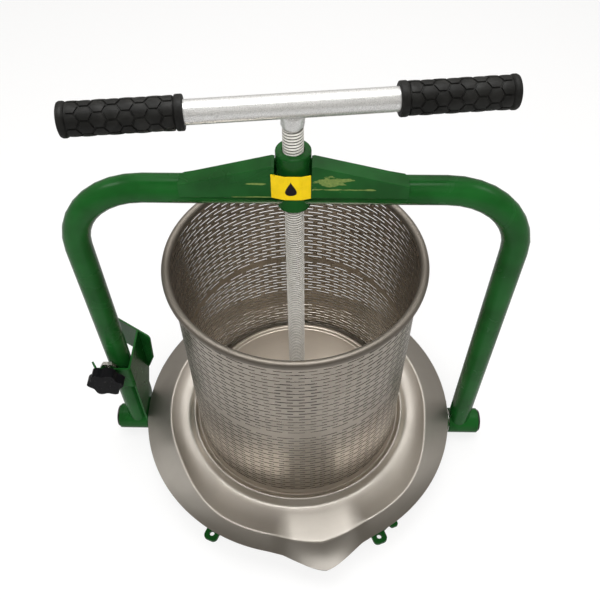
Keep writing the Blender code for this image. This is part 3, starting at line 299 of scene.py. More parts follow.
def feed(value, socket):
    """Links a socket to another, or gives it a number, a vector or a colour."""
    if isinstance(value, bpy.types.NodeSocket):
        socket.id_data.links.new(value, socket)
    elif isinstance(value, (int, float)):
        socket.default_value = value
    else:
        socket.default_value = (*value, 1)[:len(socket.default_value)]


def feed_all(node, **values):
    for key, value in values.items():
        feed(value, node.inputs[key.replace("_", " ")])


def maths(operation, *values, kind="ShaderNodeMath"):
    """A Math node whose inputs are numbers and at least one socket, in whose tree it is placed."""
    tree = next(value.id_data for value in values if isinstance(value, bpy.types.NodeSocket))
    node = add(tree, kind, operation=operation)
    for value, socket in zip(values, node.inputs):
        feed(value, socket)
    return node.outputs["Value" if kind == "ShaderNodeMath" or operation == "LENGTH" else "Vector"]


def vector_maths(operation, *values):
    return maths(operation, *values, kind="ShaderNodeVectorMath")


def times(first, second):
    return maths("MULTIPLY", first, second)


def axes_of(vector):
    """The X, Y and Z of a vector."""
    node = add(vector.id_data, "ShaderNodeSeparateXYZ")
    feed(vector, node.inputs[0])
    return node.outputs


def noise_at(where, scale, detail=3, rough=0.55, distortion=0):
    """Noise with a number of lumps in a metre, which may be a socket."""
    node = add(where.id_data, "ShaderNodeTexNoise")
    feed_all(node, Vector=where, Scale=scale, Detail=detail, Roughness=rough, Distortion=distortion)
    return node.outputs["Fac"]


def spread(value, low, high, out_low=0.0, out_high=1.0):
    """Maps a value from one range to another and clamps it."""
    node = add(value.id_data, "ShaderNodeMapRange", clamp=True)
    feed_all(node, Value=value, From_Min=low, From_Max=high, To_Min=out_low, To_Max=out_high)
    return node.outputs["Result"]


def blend_colours(mask, first, second):
    """Mixes two colours, each a socket or a plain colour, by a mask."""
    node = add(mask.id_data, "ShaderNodeMix", data_type="RGBA")
    colour_a, colour_b = node.inputs[6], node.inputs[7]
    for value, socket in ((mask, node.inputs["Factor"]), (first, colour_a), (second, colour_b)):
        feed(value, socket)
    return node.outputs[2]


def radius_and_height(position):
    """Distance from the Z axis and height over the floor, for patterns that run round the press."""
    x, y, z = axes_of(position)
    return maths("SQRT", maths("ADD", times(x, x), times(y, y))), z


# Effects that several finishes share


def new_group(name, inputs, outputs):
    """A shader node group. A number gives its input a value socket, and None a vector socket."""
    group = bpy.data.node_groups.new(name, "ShaderNodeTree")
    for label, value in inputs.items():
        kind = "NodeSocketVector" if value is None else "NodeSocketFloat"
        socket = group.interface.new_socket(label, in_out="INPUT", socket_type=kind)
        if value is not None:
            socket.default_value = value
    for label in outputs:
        group.interface.new_socket(label, in_out="OUTPUT", socket_type="NodeSocketFloat")
    return group, add(group, "NodeGroupInput").outputs, add(group, "NodeGroupOutput").inputs


def fleck_group():
    """Small scattered flecks: nicks in paint or specks of dirt."""
    group, given, result = new_group("Flecks", {"Position": None, "Scale": 90.0, "Rarity": 0.7}, ["Mask"])
    texture = noise_at(given["Position"], given["Scale"], 4, 0.6)
    over = maths("SUBTRACT", texture, given["Rarity"])
    feed(spread(over, 0, 0.012), result["Mask"])
    return group


def patch_group():
    """One ragged patch round a centre, such as a scraped place, with streaks along X."""
    inputs = {"Position": None, "Centre": None, "Reach": None, "Ragged": 0.9, "Scale": 260.0}
    group, given, result = new_group("Patch", inputs, ["Mask"])
    away = vector_maths("SUBTRACT", given["Position"], given["Centre"])
    length = vector_maths("LENGTH", vector_maths("DIVIDE", away, given["Reach"]))
    streaks = vector_maths("MULTIPLY", given["Position"], (0.35, 1, 1))
    texture = noise_at(streaks, given["Scale"], 3, 0.5)
    ragged = times(maths("SUBTRACT", texture, 0.5), given["Ragged"])
    edge = maths("ADD", length, times(ragged, 4))
    feed(spread(edge, 0.85, 1, 1, 0), result["Mask"])
    return group


def brushed_group():
    """Fine parallel lines of a brushed or turned face, from a position already stretched along them."""
    group, given, result = new_group("Brushed", {"Position": None, "Scale": 1.0}, ["Lines", "Cloud"])
    feed(noise_at(given["Position"], given["Scale"], 5, 0.65), result["Lines"])
    wide = times(given["Scale"], 0.06)
    feed(noise_at(given["Position"], wide, 2, 0.5), result["Cloud"])
    return group


def smudge_group():
    """Soft smudges, wide and uneven."""
    group, given, result = new_group("Smudges", {"Position": None, "Scale": 18.0}, ["Mask"])
    texture = noise_at(given["Position"], given["Scale"], 5, 0.5, 0.6)
    feed(spread(texture, 0.42, 0.7), result["Mask"])
    return group


GROUP_MAKERS = {
    "Flecks": fleck_group, "Patch": patch_group, "Brushed": brushed_group, "Smudges": smudge_group
}


def use_group(name, position, **values):
    """Places a shared group in the position's tree, sets its own values and gives its outputs."""
    group = bpy.data.node_groups.get(name) or GROUP_MAKERS[name]()
    node = add(position.id_data, "ShaderNodeGroup", node_tree=group)
    feed_all(node, Position=position, **values)
    return node.outputs


# Finishes: noise scales are in lumps per metre, roughness runs from 0 to 1, and bump depths are in metres


# Scraped places on the front cover: centre, reach and raggedness
COVER_SCRAPES = (
    (Vector((0.035, -0.016, 0.4855)), Vector((0.019, 0.02, 0.0058)), 0.65),
    (Vector((-0.034, -0.016, 0.483)), Vector((0.014, 0.02, 0.0012)), 0.5),
    (Vector((0.05, -0.016, 0.4765)), Vector((0.03, 0.02, 0.0007)), 1.2),
    (Vector((-0.03, -0.016, 0.4668)), Vector((0.03, 0.02, 0.0006)), 0.5),
)
# Roughness of the enamel
ENAMEL_CLEAN, ENAMEL_SMEARED, ENAMEL_SCRAPED = 0.2, 0.3, 0.6
# The basket's rim: height of its dull band and of that band's soft edge, the share of painted shade that
# darkens the band, and its added roughness
RIM_BAND, RIM_EDGE, RIM_SHADE, RIM_ROUGHER = 0.008, 0.0015, 0.55, 0.16
# Painted shade in the slots: the tone of the faces of the sheet's thickness there
SLOT_EDGE_SHADE = 0.15
# Lines of rolled sheet are long across X and Y.
LINES_ALONG = (0.06, 0.06, 1.0)
# Roughness of the thread's root and crest, and of rubber where it is dusty and where hands rub it
ROOT_ROUGH, PLATED = 0.55, 0.3
RUBBER_DULL, RUBBER_RUBBED = 0.56, 0.42
# Half the drop mark's height as a share of the label's
DROP_SHARE = 0.31


def new_finish(name, metallic=0.0, shine=0.5):
    """A material, the inputs of its Principled shader and the position on the piece."""
    material = bpy.data.materials.new(name)
    material.use_nodes = True
    tree = material.node_tree
    shader = tree.nodes["Principled BSDF"].inputs
    shader["Metallic"].default_value = metallic
    shader["Specular IOR Level"].default_value = shine
    return material, shader, add(tree, "ShaderNodeTexCoord").outputs["Object"]


def bump(shader, height, distance, strength):
    node = add(height.id_data, "ShaderNodeBump")
    feed_all(node, Strength=strength, Distance=distance, Height=height)
    feed(node.outputs["Normal"], shader["Normal"])


def enamel_finish(name, colours, patches=()):
    """Thick green enamel with an uneven skin, a few nicks and any scraped patches."""
    material, shader, position = new_finish(name, shine=0.17)
    cloud = noise_at(position, 26, 2)
    green = blend_colours(spread(cloud, 0.35, 0.65), colours.enamel_dark, colours.enamel)
    bare = use_group("Flecks", position, Scale=75.0, Rarity=0.735)["Mask"]
    for centre, reach, ragged in patches:
        patch = use_group("Patch", position, Centre=centre, Reach=reach, Ragged=ragged)["Mask"]
        bare = maths("MAXIMUM", bare, patch)
    primer = blend_colours(noise_at(position, 420, 2), colours.primer, colours.enamel)
    feed(blend_colours(bare, green, primer), shader["Base Color"])
    smears = use_group("Smudges", position, Scale=30.0)["Mask"]
    gloss = spread(smears, 0, 1, ENAMEL_CLEAN, ENAMEL_SMEARED)
    feed(maths("MAXIMUM", gloss, times(bare, ENAMEL_SCRAPED)), shader["Roughness"])
    skin = maths("SUBTRACT", noise_at(position, 130, 2), times(bare, 0.5))
    bump(shader, skin, 0.0005, 0.22)
    return material


def stainless_finish(name, colours, colour, tone, rough, spun=True, rim=False, flange=0.0):
    """Satin stainless sheet with fine lines along the turning or rolling direction.

    A rim is duller and its band is painted darker as shade, and below it the slots' edges are painted dark as
    shade in the slots. A share of painted shade darkens what lies outside the ridge.
    """
    material, shader, position = new_finish(name, metallic=1.0)
    tree = material.node_tree
    if spun:
        radius, height = radius_and_height(position)
        lines_at = add(tree, "ShaderNodeCombineXYZ")
        feed_all(lines_at, X=radius, Z=height)
        lines = lines_at.outputs[0]
    else:
        lines = vector_maths("MULTIPLY", position, LINES_ALONG)
    brushed = use_group("Brushed", lines, Scale=900.0)
    smears = use_group("Smudges", position, Scale=14.0)["Mask"]
    shade = maths("ADD", times(brushed["Lines"], 0.12), 0.9 * tone)
    shade = maths("ADD", shade, times(brushed["Cloud"], 0.1))
    shade = maths("SUBTRACT", shade, times(smears, 0.09))
    if rim:
        height = axes_of(position)[2]
        rim_z = bpy.context.scene.press_basket.top_z - RIM_BAND
        # Painted shade: the band at the rim is darkened, and it is also made rougher.
        shade = times(shade, spread(height, rim_z, rim_z + RIM_EDGE, 1, RIM_SHADE))
        rough = spread(height, rim_z, rim_z + RIM_EDGE, rough, rough + RIM_ROUGHER)
        # Painted shade in the slots: faces that look up or down, below the rim, are darkened.
        facing = axes_of(add(tree, "ShaderNodeNewGeometry").outputs["True Normal"])[2]
        slot_shade = spread(maths("ABSOLUTE", facing), 0.8, 0.95, 1, SLOT_EDGE_SHADE)
        above_slots = spread(height, rim_z - 0.001, rim_z)
        shade = times(shade, maths("MAXIMUM", slot_shade, above_slots))
    # Painted shade: what lies outside the ridge is darkened by the given share.
    if flange:
        outside = add(tree, "ShaderNodeAttribute", attribute_name="flange").outputs["Fac"]
        shade = times(shade, spread(outside, 0, 0.08, 1, 1 - flange))
    metal = add(tree, "ShaderNodeVectorMath", operation="SCALE")
    feed(getattr(colours, colour), metal.inputs[0])
    feed(shade, metal.inputs["Scale"])
    feed(metal.outputs[0], shader["Base Color"])
    haze = maths("ADD", times(brushed["Lines"], 0.16), times(smears, 0.07))
    feed(maths("ADD", maths("SUBTRACT", haze, 0.1), rough), shader["Roughness"])
    bump(shader, brushed["Lines"], 0.00006, 0.25)
    return material


def thread_finish(name, colours):
    """Plated thread: bright crests, darker towards the root."""
    material, shader, position = new_finish(name, metallic=0.25)
    sizes = bpy.context.scene.press_spindle
    radius, _height = radius_and_height(position)
    crest = spread(radius, sizes.root + 0.0005, sizes.crest - 0.0001)
    blotches = noise_at(position, 160, 4)
    plated = blend_colours(spread(blotches, 0.4, 0.7), colours.thread, colours.thread_worn)
    # The colour darkens from the crest towards the root.
    feed(blend_colours(crest, colours.thread_root, plated), shader["Base Color"])
    rough = spread(crest, 0, 1, ROOT_ROUGH, PLATED)
    feed(maths("ADD", rough, times(blotches, 0.1)), shader["Roughness"])
    bump(shader, noise_at(position, 900), 0.0001, 0.5)
    return material


def silver_finish(name, colours, lumpy):
    """Silver paint with a speckled, slightly hammered skin."""
    material, shader, position = new_finish(name, metallic=0.65)
    speckle = noise_at(position, 900, 3, 0.7)
    dull = tuple(part * 0.72 for part in colours.silver)
    silver = blend_colours(spread(speckle, 0.38, 0.66), dull, colours.silver_speck)
    feed(silver, shader["Base Color"])
    feed(spread(speckle, 0.3, 0.7, 0.4, 0.22), shader["Roughness"])
    height = maths("ADD", speckle, times(noise_at(position, 240), lumpy))
    bump(shader, height, 0.00012 * (1 + lumpy), 0.45)
    return material


def plated_finish(name, colours, colour, rough):
    """Plain plated or blackened steel with blotches."""
    material, shader, position = new_finish(name, metallic=1.0)
    blotches = noise_at(position, 220, 4)
    bright = getattr(colours, colour)
    dark = tuple(part * 0.62 for part in bright)
    feed(blend_colours(spread(blotches, 0.35, 0.65), dark, bright), shader["Base Color"])
    feed(spread(blotches, 0.3, 0.7, rough + 0.12, rough - 0.05), shader["Roughness"])
    bump(shader, noise_at(position, 1400, 2), 0.00008, 0.4)
    return material


def rubber_finish(name, colours):
    """Moulded rubber, dull, and a little smoother and dustier in soft smudges."""
    material, shader, position = new_finish(name, shine=0.25)
    rubbed = use_group("Smudges", position, Scale=60.0)["Mask"]
    dusty = tuple(part * 2.1 for part in colours.rubber)
    feed(blend_colours(rubbed, colours.rubber, dusty), shader["Base Color"])
    feed(spread(rubbed, 0, 1, RUBBER_DULL, RUBBER_RUBBED), shader["Roughness"])
    bump(shader, noise_at(position, 1100), 0.00012, 0.5)
    return material


def plastic_finish(name, colours):
    """Moulded black plastic with a soft shine and dust."""
    material, shader, position = new_finish(name, shine=0.06)
    specks = times(use_group("Flecks", position, Scale=300.0, Rarity=0.66)["Mask"], 0.12)
    feed(blend_colours(specks, colours.plastic, colours.dust), shader["Base Color"])
    feed(spread(noise_at(position, 90), 0.3, 0.7, 0.24, 0.36), shader["Roughness"])
    bump(shader, noise_at(position, 700, 2), 0.00006, 0.4)
    return material


def label_finish(name, colours):
    """Yellow label with a plain drop mark, a little worn."""
    material, shader, position = new_finish(name, shine=0.12)
    low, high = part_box("label_plate")
    height = (high[2] - low[2]) * DROP_SHARE
    x, _y, z = axes_of(position)
    from_middle = maths("SUBTRACT", x, (low[0] + high[0]) / 2)
    across = maths("ABSOLUTE", maths("DIVIDE", from_middle, height))
    up = maths("DIVIDE", maths("SUBTRACT", z, (low[2] + high[2]) / 2), height)
    inside = maths("MAXIMUM", maths("SUBTRACT", 1, times(up, up)), 0)
    narrowed = times(maths("SUBTRACT", 1, up), 0.5)
    half_width = times(maths("SQRT", inside), narrowed)
    inked = spread(maths("SUBTRACT", half_width, across), 0, 0.03)
    worn = use_group("Smudges", position, Scale=120.0)["Mask"]
    yellow = blend_colours(worn, colours.label, tuple(part * 0.9 for part in colours.label))
    feed(blend_colours(inked, yellow, colours.ink), shader["Base Color"])
    feed(spread(worn, 0, 1, 0.32, 0.45), shader["Roughness"])
    bump(shader, noise_at(position, 260, 2), 0.0001, 0.3)
    return material


FINISHES = {
    "green enamel": (enamel_finish, {}),
    "scraped enamel": (enamel_finish, {"patches": COVER_SCRAPES}),
    "satin stainless, rolled": (
        stainless_finish, {"colour": "stainless", "tone": 0.94, "rough": 0.36, "spun": False, "rim": True}
    ),
    # The spun tray is painted darker outside its ridge, as shade.
    "satin stainless, spun": (
        stainless_finish, {"colour": "tray", "tone": 1.28, "rough": 0.45, "flange": 0.48}
    ),
    # The press plate's stainless is painted brighter, as painted light.
    "bright stainless": (stainless_finish, {"colour": "stainless", "tone": 1.6, "rough": 0.3}),
    "threaded steel": (thread_finish, {}),
    "silver paint": (silver_finish, {"lumpy": 0.4}),
    "silver weld": (silver_finish, {"lumpy": 2.2}),
    "zinc plate": (plated_finish, {"colour": "zinc", "rough": 0.24}),
    "dark steel": (plated_finish, {"colour": "dark_steel", "rough": 0.25}),
    "grip rubber": (rubber_finish, {}),
    "knob plastic": (plastic_finish, {}),
    "yellow label": (label_finish, {}),
}


def finish(name):
    """Finds a finish by its name, or makes it when it is first asked for."""
    maker, values = FINISHES[name]
    return bpy.data.materials.get(name) or maker(name, bpy.context.scene.press_colours, **values)


# Pieces


class PRESS_OT_frame(Operator):
    """Enamels the frame tube, its sleeves, the boss and the cover sheets"""

    bl_idname = "press.frame"
    bl_label = "Frame"

    def execute(self, context):
        green = finish("green enamel")
        for side in ("left", "right"):
            rounded_copy(f"leg_{side}", green, 0, "enamelled")
            rounded_copy(f"pivot_sleeve_{side}", green, 0.0022, "enamelled", 3)
        rounded_copy("screw_boss", green, 0.001, "enamelled", 3)
        rounded_copy("cover_front", finish("scraped enamel"), 0.0016, "enamelled", 3)
        rounded_copy("cover_rear", green, 0.0016, "enamelled", 3)
        return {"FINISHED"}


class PRESS_OT_label(Operator):
    """Prints the label plate"""

    bl_idname = "press.label"
    bl_label = "Label"

    def execute(self, context):
        rounded_copy("label_plate", finish("yellow label"), 0.0002, "printed", 1)
        return {"FINISHED"}


class PRESS_OT_pivots(Operator):
    """Finishes axles, caps and washers of the pivots"""

    bl_idname = "press.pivots"
    bl_label = "Pivots"

    def execute(self, context):
        for side in ("left", "right"):
            rounded_copy(f"axle_{side}", finish("dark steel"), 0.0004, "turned")
            rounded_copy(f"axle_cap_{side}", finish("dark steel"), 0.0012, "domed", 3)
            rounded_copy(f"pivot_washer_{side}", finish("zinc plate"), 0.0003, "plated", 1)
        return {"FINISHED"}


# The core stays under the thread's root, and the thread's ends sink into it.
CORE_UNDER_ROOT = 0.0003
FADE_UNDER_ROOT = 0.0008
FOOT_CHAMFER = 0.001
THREAD_MARGIN = 0.002
# One turn of the thread: share of the pitch, and whether it is at the crest
THREAD_TURN = ((0, False), (0.14, False), (0.34, True), (0.8, True), (1, False))


class PRESS_OT_spindle(Operator):
    """Winds the threaded spindle"""

    bl_idname = "press.spindle"
    bl_label = "Spindle"

    def execute(self, context):
        sizes = context.scene.press_spindle
        low, high = (corner[2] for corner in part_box("spindle"))
        shoulder = low + sizes.foot
        core = sizes.root - CORE_UNDER_ROOT
        plain = [
            (0, low), (sizes.foot_radius, low), (sizes.foot_radius, shoulder - FOOT_CHAMFER),
            (core + 0.8 * FOOT_CHAMFER, shoulder), (core, shoulder + FOOT_CHAMFER), (core, high), (0, high),
        ]
        edit = bmesh.new()
        spin_round(edit, outline(edit, plain), sizes.sides)
        bmesh.ops.recalc_face_normals(edit, faces=edit.faces)
        join_into(edit, self.thread(sizes, shoulder + THREAD_MARGIN, high - THREAD_MARGIN))
        dress("spindle_threaded", mesh_of(edit, "spindle", 50), finish("threaded steel"), "spindle")
        return {"FINISHED"}

    def thread(self, sizes, bottom, top):
        """Winds one pitch of the thread from bottom to top and fades both ends into the core."""
        pitch = sizes.pitch
        turns = int((top - bottom) / pitch) - 1
        one_pitch = [
            (sizes.crest if at_crest else sizes.root, bottom + pitch * part)
            for part, at_crest in THREAD_TURN
        ]
        thread = bmesh.new()
        spin_round(thread, outline(thread, one_pitch), sizes.sides, float(turns), pitch)
        faded = sizes.root - FADE_UNDER_ROOT
        for vert in thread.verts:
            radius = math.hypot(vert.co.x, vert.co.y)
            share = min(1.0, (vert.co.z - bottom) / pitch, (bottom + turns * pitch - vert.co.z) / pitch)
            scale = (faded + (radius - faded) * max(0.0, share)) / radius
            vert.co.x *= scale
            vert.co.y *= scale
        bmesh.ops.recalc_face_normals(thread, faces=thread.faces)
        return thread


# The weld's radius and height as shares of its own: narrow below and flared along the bar above
WELD_OUTLINE = (
    (0.76, 0.0), (0.8, 0.07), (0.79, 0.2), (0.81, 0.32), (0.8, 0.45), (0.84, 0.6), (0.92, 0.78),
    (1.0, 0.92), (1.0, 1.0),
)
WELD_STEPS = 40
# Lumps of the weld: how many in a metre, and how high
WELD_LUMPS = ((420, 0.0006), (190, 0.0005))
# Above this share of its height, the weld is flattened across the bar, by up to this share of its width.
WELD_FLAT_FROM = 0.4
WELD_FLATTENED = 0.36


def bar_direction():
    """The way from the middle of the handle bar to its right end."""
    left, right = (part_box(f"grip_{name}") for name in ("left", "right"))
    across = Vector(right[0]) + Vector(right[1]) - Vector(left[0]) - Vector(left[1])
    return Vector((across.x, across.y, 0)).normalized()


class PRESS_OT_handle(Operator):
    """Makes the silver handle bar and its rough weld"""

    bl_idname = "press.handle"
    bl_label = "Handle"

    def execute(self, context):
        rounded_copy("handle_bar", finish("silver paint"), 0, "silvered")
        low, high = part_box("handle_weld")
        radius = (high[0] - low[0]) / 2
        height = high[2] - low[2]
        points = [(radius * wide, low[2] + height * tall) for wide, tall in WELD_OUTLINE]
        edit = bmesh.new()
        spin_round(edit, outline(edit, [(0, low[2]), *points, (0, high[2])]), WELD_STEPS)
        bmesh.ops.recalc_face_normals(edit, faces=edit.faces)
        along = bar_direction()
        across = Vector((-along.y, along.x, 0))
        for vert in edit.verts:
            reach = Vector((vert.co.x, vert.co.y, 0))
            if reach.length > MERGE:
                swell = sum(noise.noise(vert.co * lumps) * lump for lumps, lump in WELD_LUMPS)
                vert.co += reach.normalized() * min(swell, radius * 0.999 - reach.length)
            flat = max(0.0, (vert.co.z - low[2]) / height - WELD_FLAT_FROM) / (1 - WELD_FLAT_FROM)
            vert.co -= across * vert.co.dot(across) * WELD_FLATTENED * flat
        dress("handle_weld_lumpy", mesh_of(edit, "handle_weld", 70), finish("silver weld"), "handle_weld")
        return {"FINISHED"}


# Outlines of a grip: radius over that of the lip, and distance from the end that each is at
GRIP_COLLAR = ((-0.0012, 0), (-0.0003, 0.0005), (0, 0.0016), (0, 0.0058), (-0.0004, 0.0069))
GRIP_END_LIP = ((-0.0005, 0.0062), (0, 0.0048), (0, 0.0022), (-0.0008, 0.0007), (-0.0024, 0))
GRIP_COLLAR_END = 0.008
GRIP_LIP_START = 0.0075
GRIP_END_WALL = 0.0035
GRIP_STEPS = 48
# Pads end this far from collar and lip, swell by the crown and sink into the sleeve with a wider skirt.
PAD_FROM_INNER_END = 0.0085
PAD_FROM_OUTER_END = 0.008
PAD_CROWN = 0.0005
PAD_SINK = 0.0004
PAD_SKIRT = 1.1


class PRESS_OT_grips(Operator):
    """Moulds the two rubber grips with their hexagon pads"""

    bl_idname = "press.grips"
    bl_label = "Grips"

    def execute(self, context):
        sizes = context.scene.press_grips
        length = sizes.outer_end - sizes.inner_end
        for side, end in (("left", -1), ("right", 1)):
            edit = self.sleeve(sizes, length)
            self.add_pads(edit, sizes, length)
            self.set_on_bar(edit, sizes, end)
            name = f"grip_{side}"
            dress(f"{name}_moulded", mesh_of(edit, name, 32), finish("grip rubber"), name)
        return {"FINISHED"}

    def sleeve(self, sizes, length):
        """The grip without pads, turned about Z with its inner end at z = 0."""
        points = [(0, length - GRIP_END_WALL), (sizes.bore, length - GRIP_END_WALL), (sizes.bore, 0)]
        points += [(sizes.lip + over, away) for over, away in GRIP_COLLAR]
        points += [(sizes.base, GRIP_COLLAR_END), (sizes.base, length - GRIP_LIP_START)]
        points += [(sizes.lip + over, length - away) for over, away in GRIP_END_LIP]
        edit = bmesh.new()
        spin_round(edit, outline(edit, [*points, (0, length)]), GRIP_STEPS)
        bmesh.ops.recalc_face_normals(edit, faces=edit.faces)
        return edit

    def add_pads(self, edit, sizes, length):
        """Hexagon pads laid out flat in offset columns and wrapped round the sleeve."""
        column_step = sizes.hexagon * 1.5
        ring_step = FULL_TURN / sizes.around
        first = (length - column_step * (sizes.along - 1)) / 2
        for column in range(sizes.along):
            for index in range(sizes.around):
                angle = ring_step * (index + (column % 2) / 2)
                join_into(edit, self.pad(sizes, length, first + column * column_step, angle))

    def pad(self, sizes, length, along, angle):
        pad = bmesh.new()
        radius = sizes.hexagon - sizes.groove / math.sqrt(3)
        bmesh.ops.create_circle(pad, cap_ends=True, segments=6, radius=radius)
        bmesh.ops.poke(pad, faces=pad.faces)
        bmesh.ops.subdivide_edges(pad, edges=pad.edges, cuts=2, use_grid_fill=True)
        rim = [edge for edge in pad.edges if edge.is_boundary]
        bmesh.ops.translate(pad, verts=pad.verts, vec=(0, 0, sizes.pad))
        skirt = bmesh.ops.extrude_edge_only(pad, edges=rim)["geom"]
        for vert in (item for item in skirt if isinstance(item, bmesh.types.BMVert)):
            vert.co = (vert.co.x * PAD_SKIRT, vert.co.y * PAD_SKIRT, sizes.base - PAD_SINK)
        low, high = PAD_FROM_INNER_END, length - PAD_FROM_OUTER_END
        scale = (FULL_TURN / sizes.around) / (math.sqrt(3) * sizes.hexagon)
        for vert in pad.verts:
            # Local Y runs along the grip and X round it; z is the radius.
            crown = PAD_CROWN * max(0.0, 1 - (vert.co.x**2 + vert.co.y**2) / radius**2)
            on_top = vert.co.z > (sizes.pad + sizes.base) / 2
            out = vert.co.z + (crown if on_top else 0)
            turn = angle + vert.co.x * scale
            height = min(max(along + vert.co.y, low), high)
            vert.co = (out * math.cos(turn), out * math.sin(turn), height)
        bmesh.ops.recalc_face_normals(pad, faces=pad.faces)
        centre = Vector((math.cos(angle), math.sin(angle), 0))
        face_outwards(pad, max(pad.faces, key=lambda face: face.calc_center_median().dot(centre)), centre)
        return pad

    def set_on_bar(self, edit, sizes, end):
        """Moves a grip from the Z axis to its end of the bar."""
        low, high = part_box("handle_bar")
        along = bar_direction() * end
        swing = along.to_track_quat("Z", "Y").to_matrix().to_4x4()
        start = Vector((0, 0, (low[2] + high[2]) / 2)) + along * sizes.inner_end
        bmesh.ops.transform(edit, matrix=Matrix.Translation(start) @ swing, verts=edit.verts)


# The basket's foot: radius over that of the wall, and height
BASKET_FOOT = ((0.002, 0), (0.002, 0.0055), (0.0012, 0.0082), (0, 0.0105))
ROLL_STEPS = 14
ROLL_TURN = math.radians(270)
# Columns of faces for each slot: one is the bridge, and rows are offset by half.
SLOT_COLUMNS = 4


class PRESS_OT_basket(Operator):
    """Rolls the basket and punches its slots"""

    bl_idname = "press.basket"
    bl_label = "Basket"

    def execute(self, context):
        sizes = context.scene.press_basket
        columns = sizes.slots * SLOT_COLUMNS
        rows = self.row_heights(sizes)
        edit = bmesh.new()
        spin_round(edit, outline(edit, self.wall(sizes, rows)), columns)
        self.punch(edit, rows, columns)
        bmesh.ops.recalc_face_normals(edit, faces=edit.faces)
        middle = sizes.top_z * 0.6
        wall_face = min(edit.faces, key=lambda face: abs(face.calc_center_median().z - middle))
        face_outwards(edit, wall_face, wall_face.calc_center_median() * Vector((1, 1, 0)))
        finished = finish("satin stainless, rolled")
        basket = dress("basket_slotted", mesh_of(edit, "basket", 60), finished, "basket")
        thicken_sheet(basket, sizes.sheet, 1)
        return {"FINISHED"}

    def row_heights(self, sizes):
        lower = [sizes.first_row + index * sizes.pitch for index in range(sizes.rows)]
        second = lower[-1] + sizes.pitch + sizes.band
        return lower + [second + index * sizes.pitch for index in range(sizes.rows)]

    def wall(self, sizes, rows):
        """Inner face of the sheet from the foot over the wall and round the rolled rim."""
        inner, roll = sizes.radius, sizes.roll
        points = [(inner + over, sizes.foot_z + height) for over, height in BASKET_FOOT]
        for height in rows:
            points += [(inner, height - sizes.slot_height / 2), (inner, height + sizes.slot_height / 2)]
        for step in range(ROLL_STEPS + 1):
            angle = math.pi - ROLL_TURN * step / ROLL_STEPS
            out, up = roll * math.cos(angle), roll * math.sin(angle)
            points.append((inner + roll + out, sizes.top_z - roll + up))
        return points

    def punch(self, edit, rows, columns):
        """Opens three faces of every four in a row, with the bridges of the next row half a slot on."""
        slots = []
        for face in edit.faces:
            centre = face.calc_center_median()
            near = (index for index, height in enumerate(rows) if abs(centre.z - height) < MERGE * 10)
            row = next(near, None)
            if row is None:
                continue
            column = int((math.atan2(centre.y, centre.x) % FULL_TURN) / FULL_TURN * columns)
            if (column + SLOT_COLUMNS // 2 * (row % 2)) % SLOT_COLUMNS:
                slots.append(face)
        bmesh.ops.delete(edit, geom=slots, context="FACES")


# The tray's top face from the middle to the channel: radius, and height over the floor
TRAY_MIDDLE = (
    (0, 0), (0.07, 0), (0.1385, 0), (0.1400, 0.0006), (0.1417, 0.0028), (0.1430, 0.0041), (0.1442, 0.0045),
    (0.1454, 0.0041), (0.1468, 0.0026), (0.1484, 0.0002), (0.1502, -0.0022), (0.1522, -0.0036),
    (0.1545, -0.004),
)
CHANNEL_DEPTH = 0.004
RIDGE_HEIGHT = 0.0034
RIM_FALL = 0.01
# From the channel up to the ridge, and from there down to the rim: shares of the way and of the height
TRAY_RISE = (
    (0, 0.04), (0.15, 0.1), (0.3, 0.19), (0.45, 0.32), (0.6, 0.48), (0.75, 0.66), (0.88, 0.84), (0.95, 0.945),
    (1, 1),
)
TRAY_FALL = (
    (0.03, 0.01), (0.07, 0.04), (0.14, 0.1), (0.25, 0.2), (0.4, 0.34), (0.55, 0.49), (0.7, 0.65),
    (0.84, 0.81), (0.94, 0.93), (1, 1),
)
# Degrees to either side of the spout, between which a form fades from whole to none
WIDENED = (33, 75)
DRAWN_OUT = (0, 14)
LOWERED = (10, 20)
# Degrees to either side of the spout, over which a form falls off in a straight line
CORNER_HALF = 12
FOLD_HALF = 11


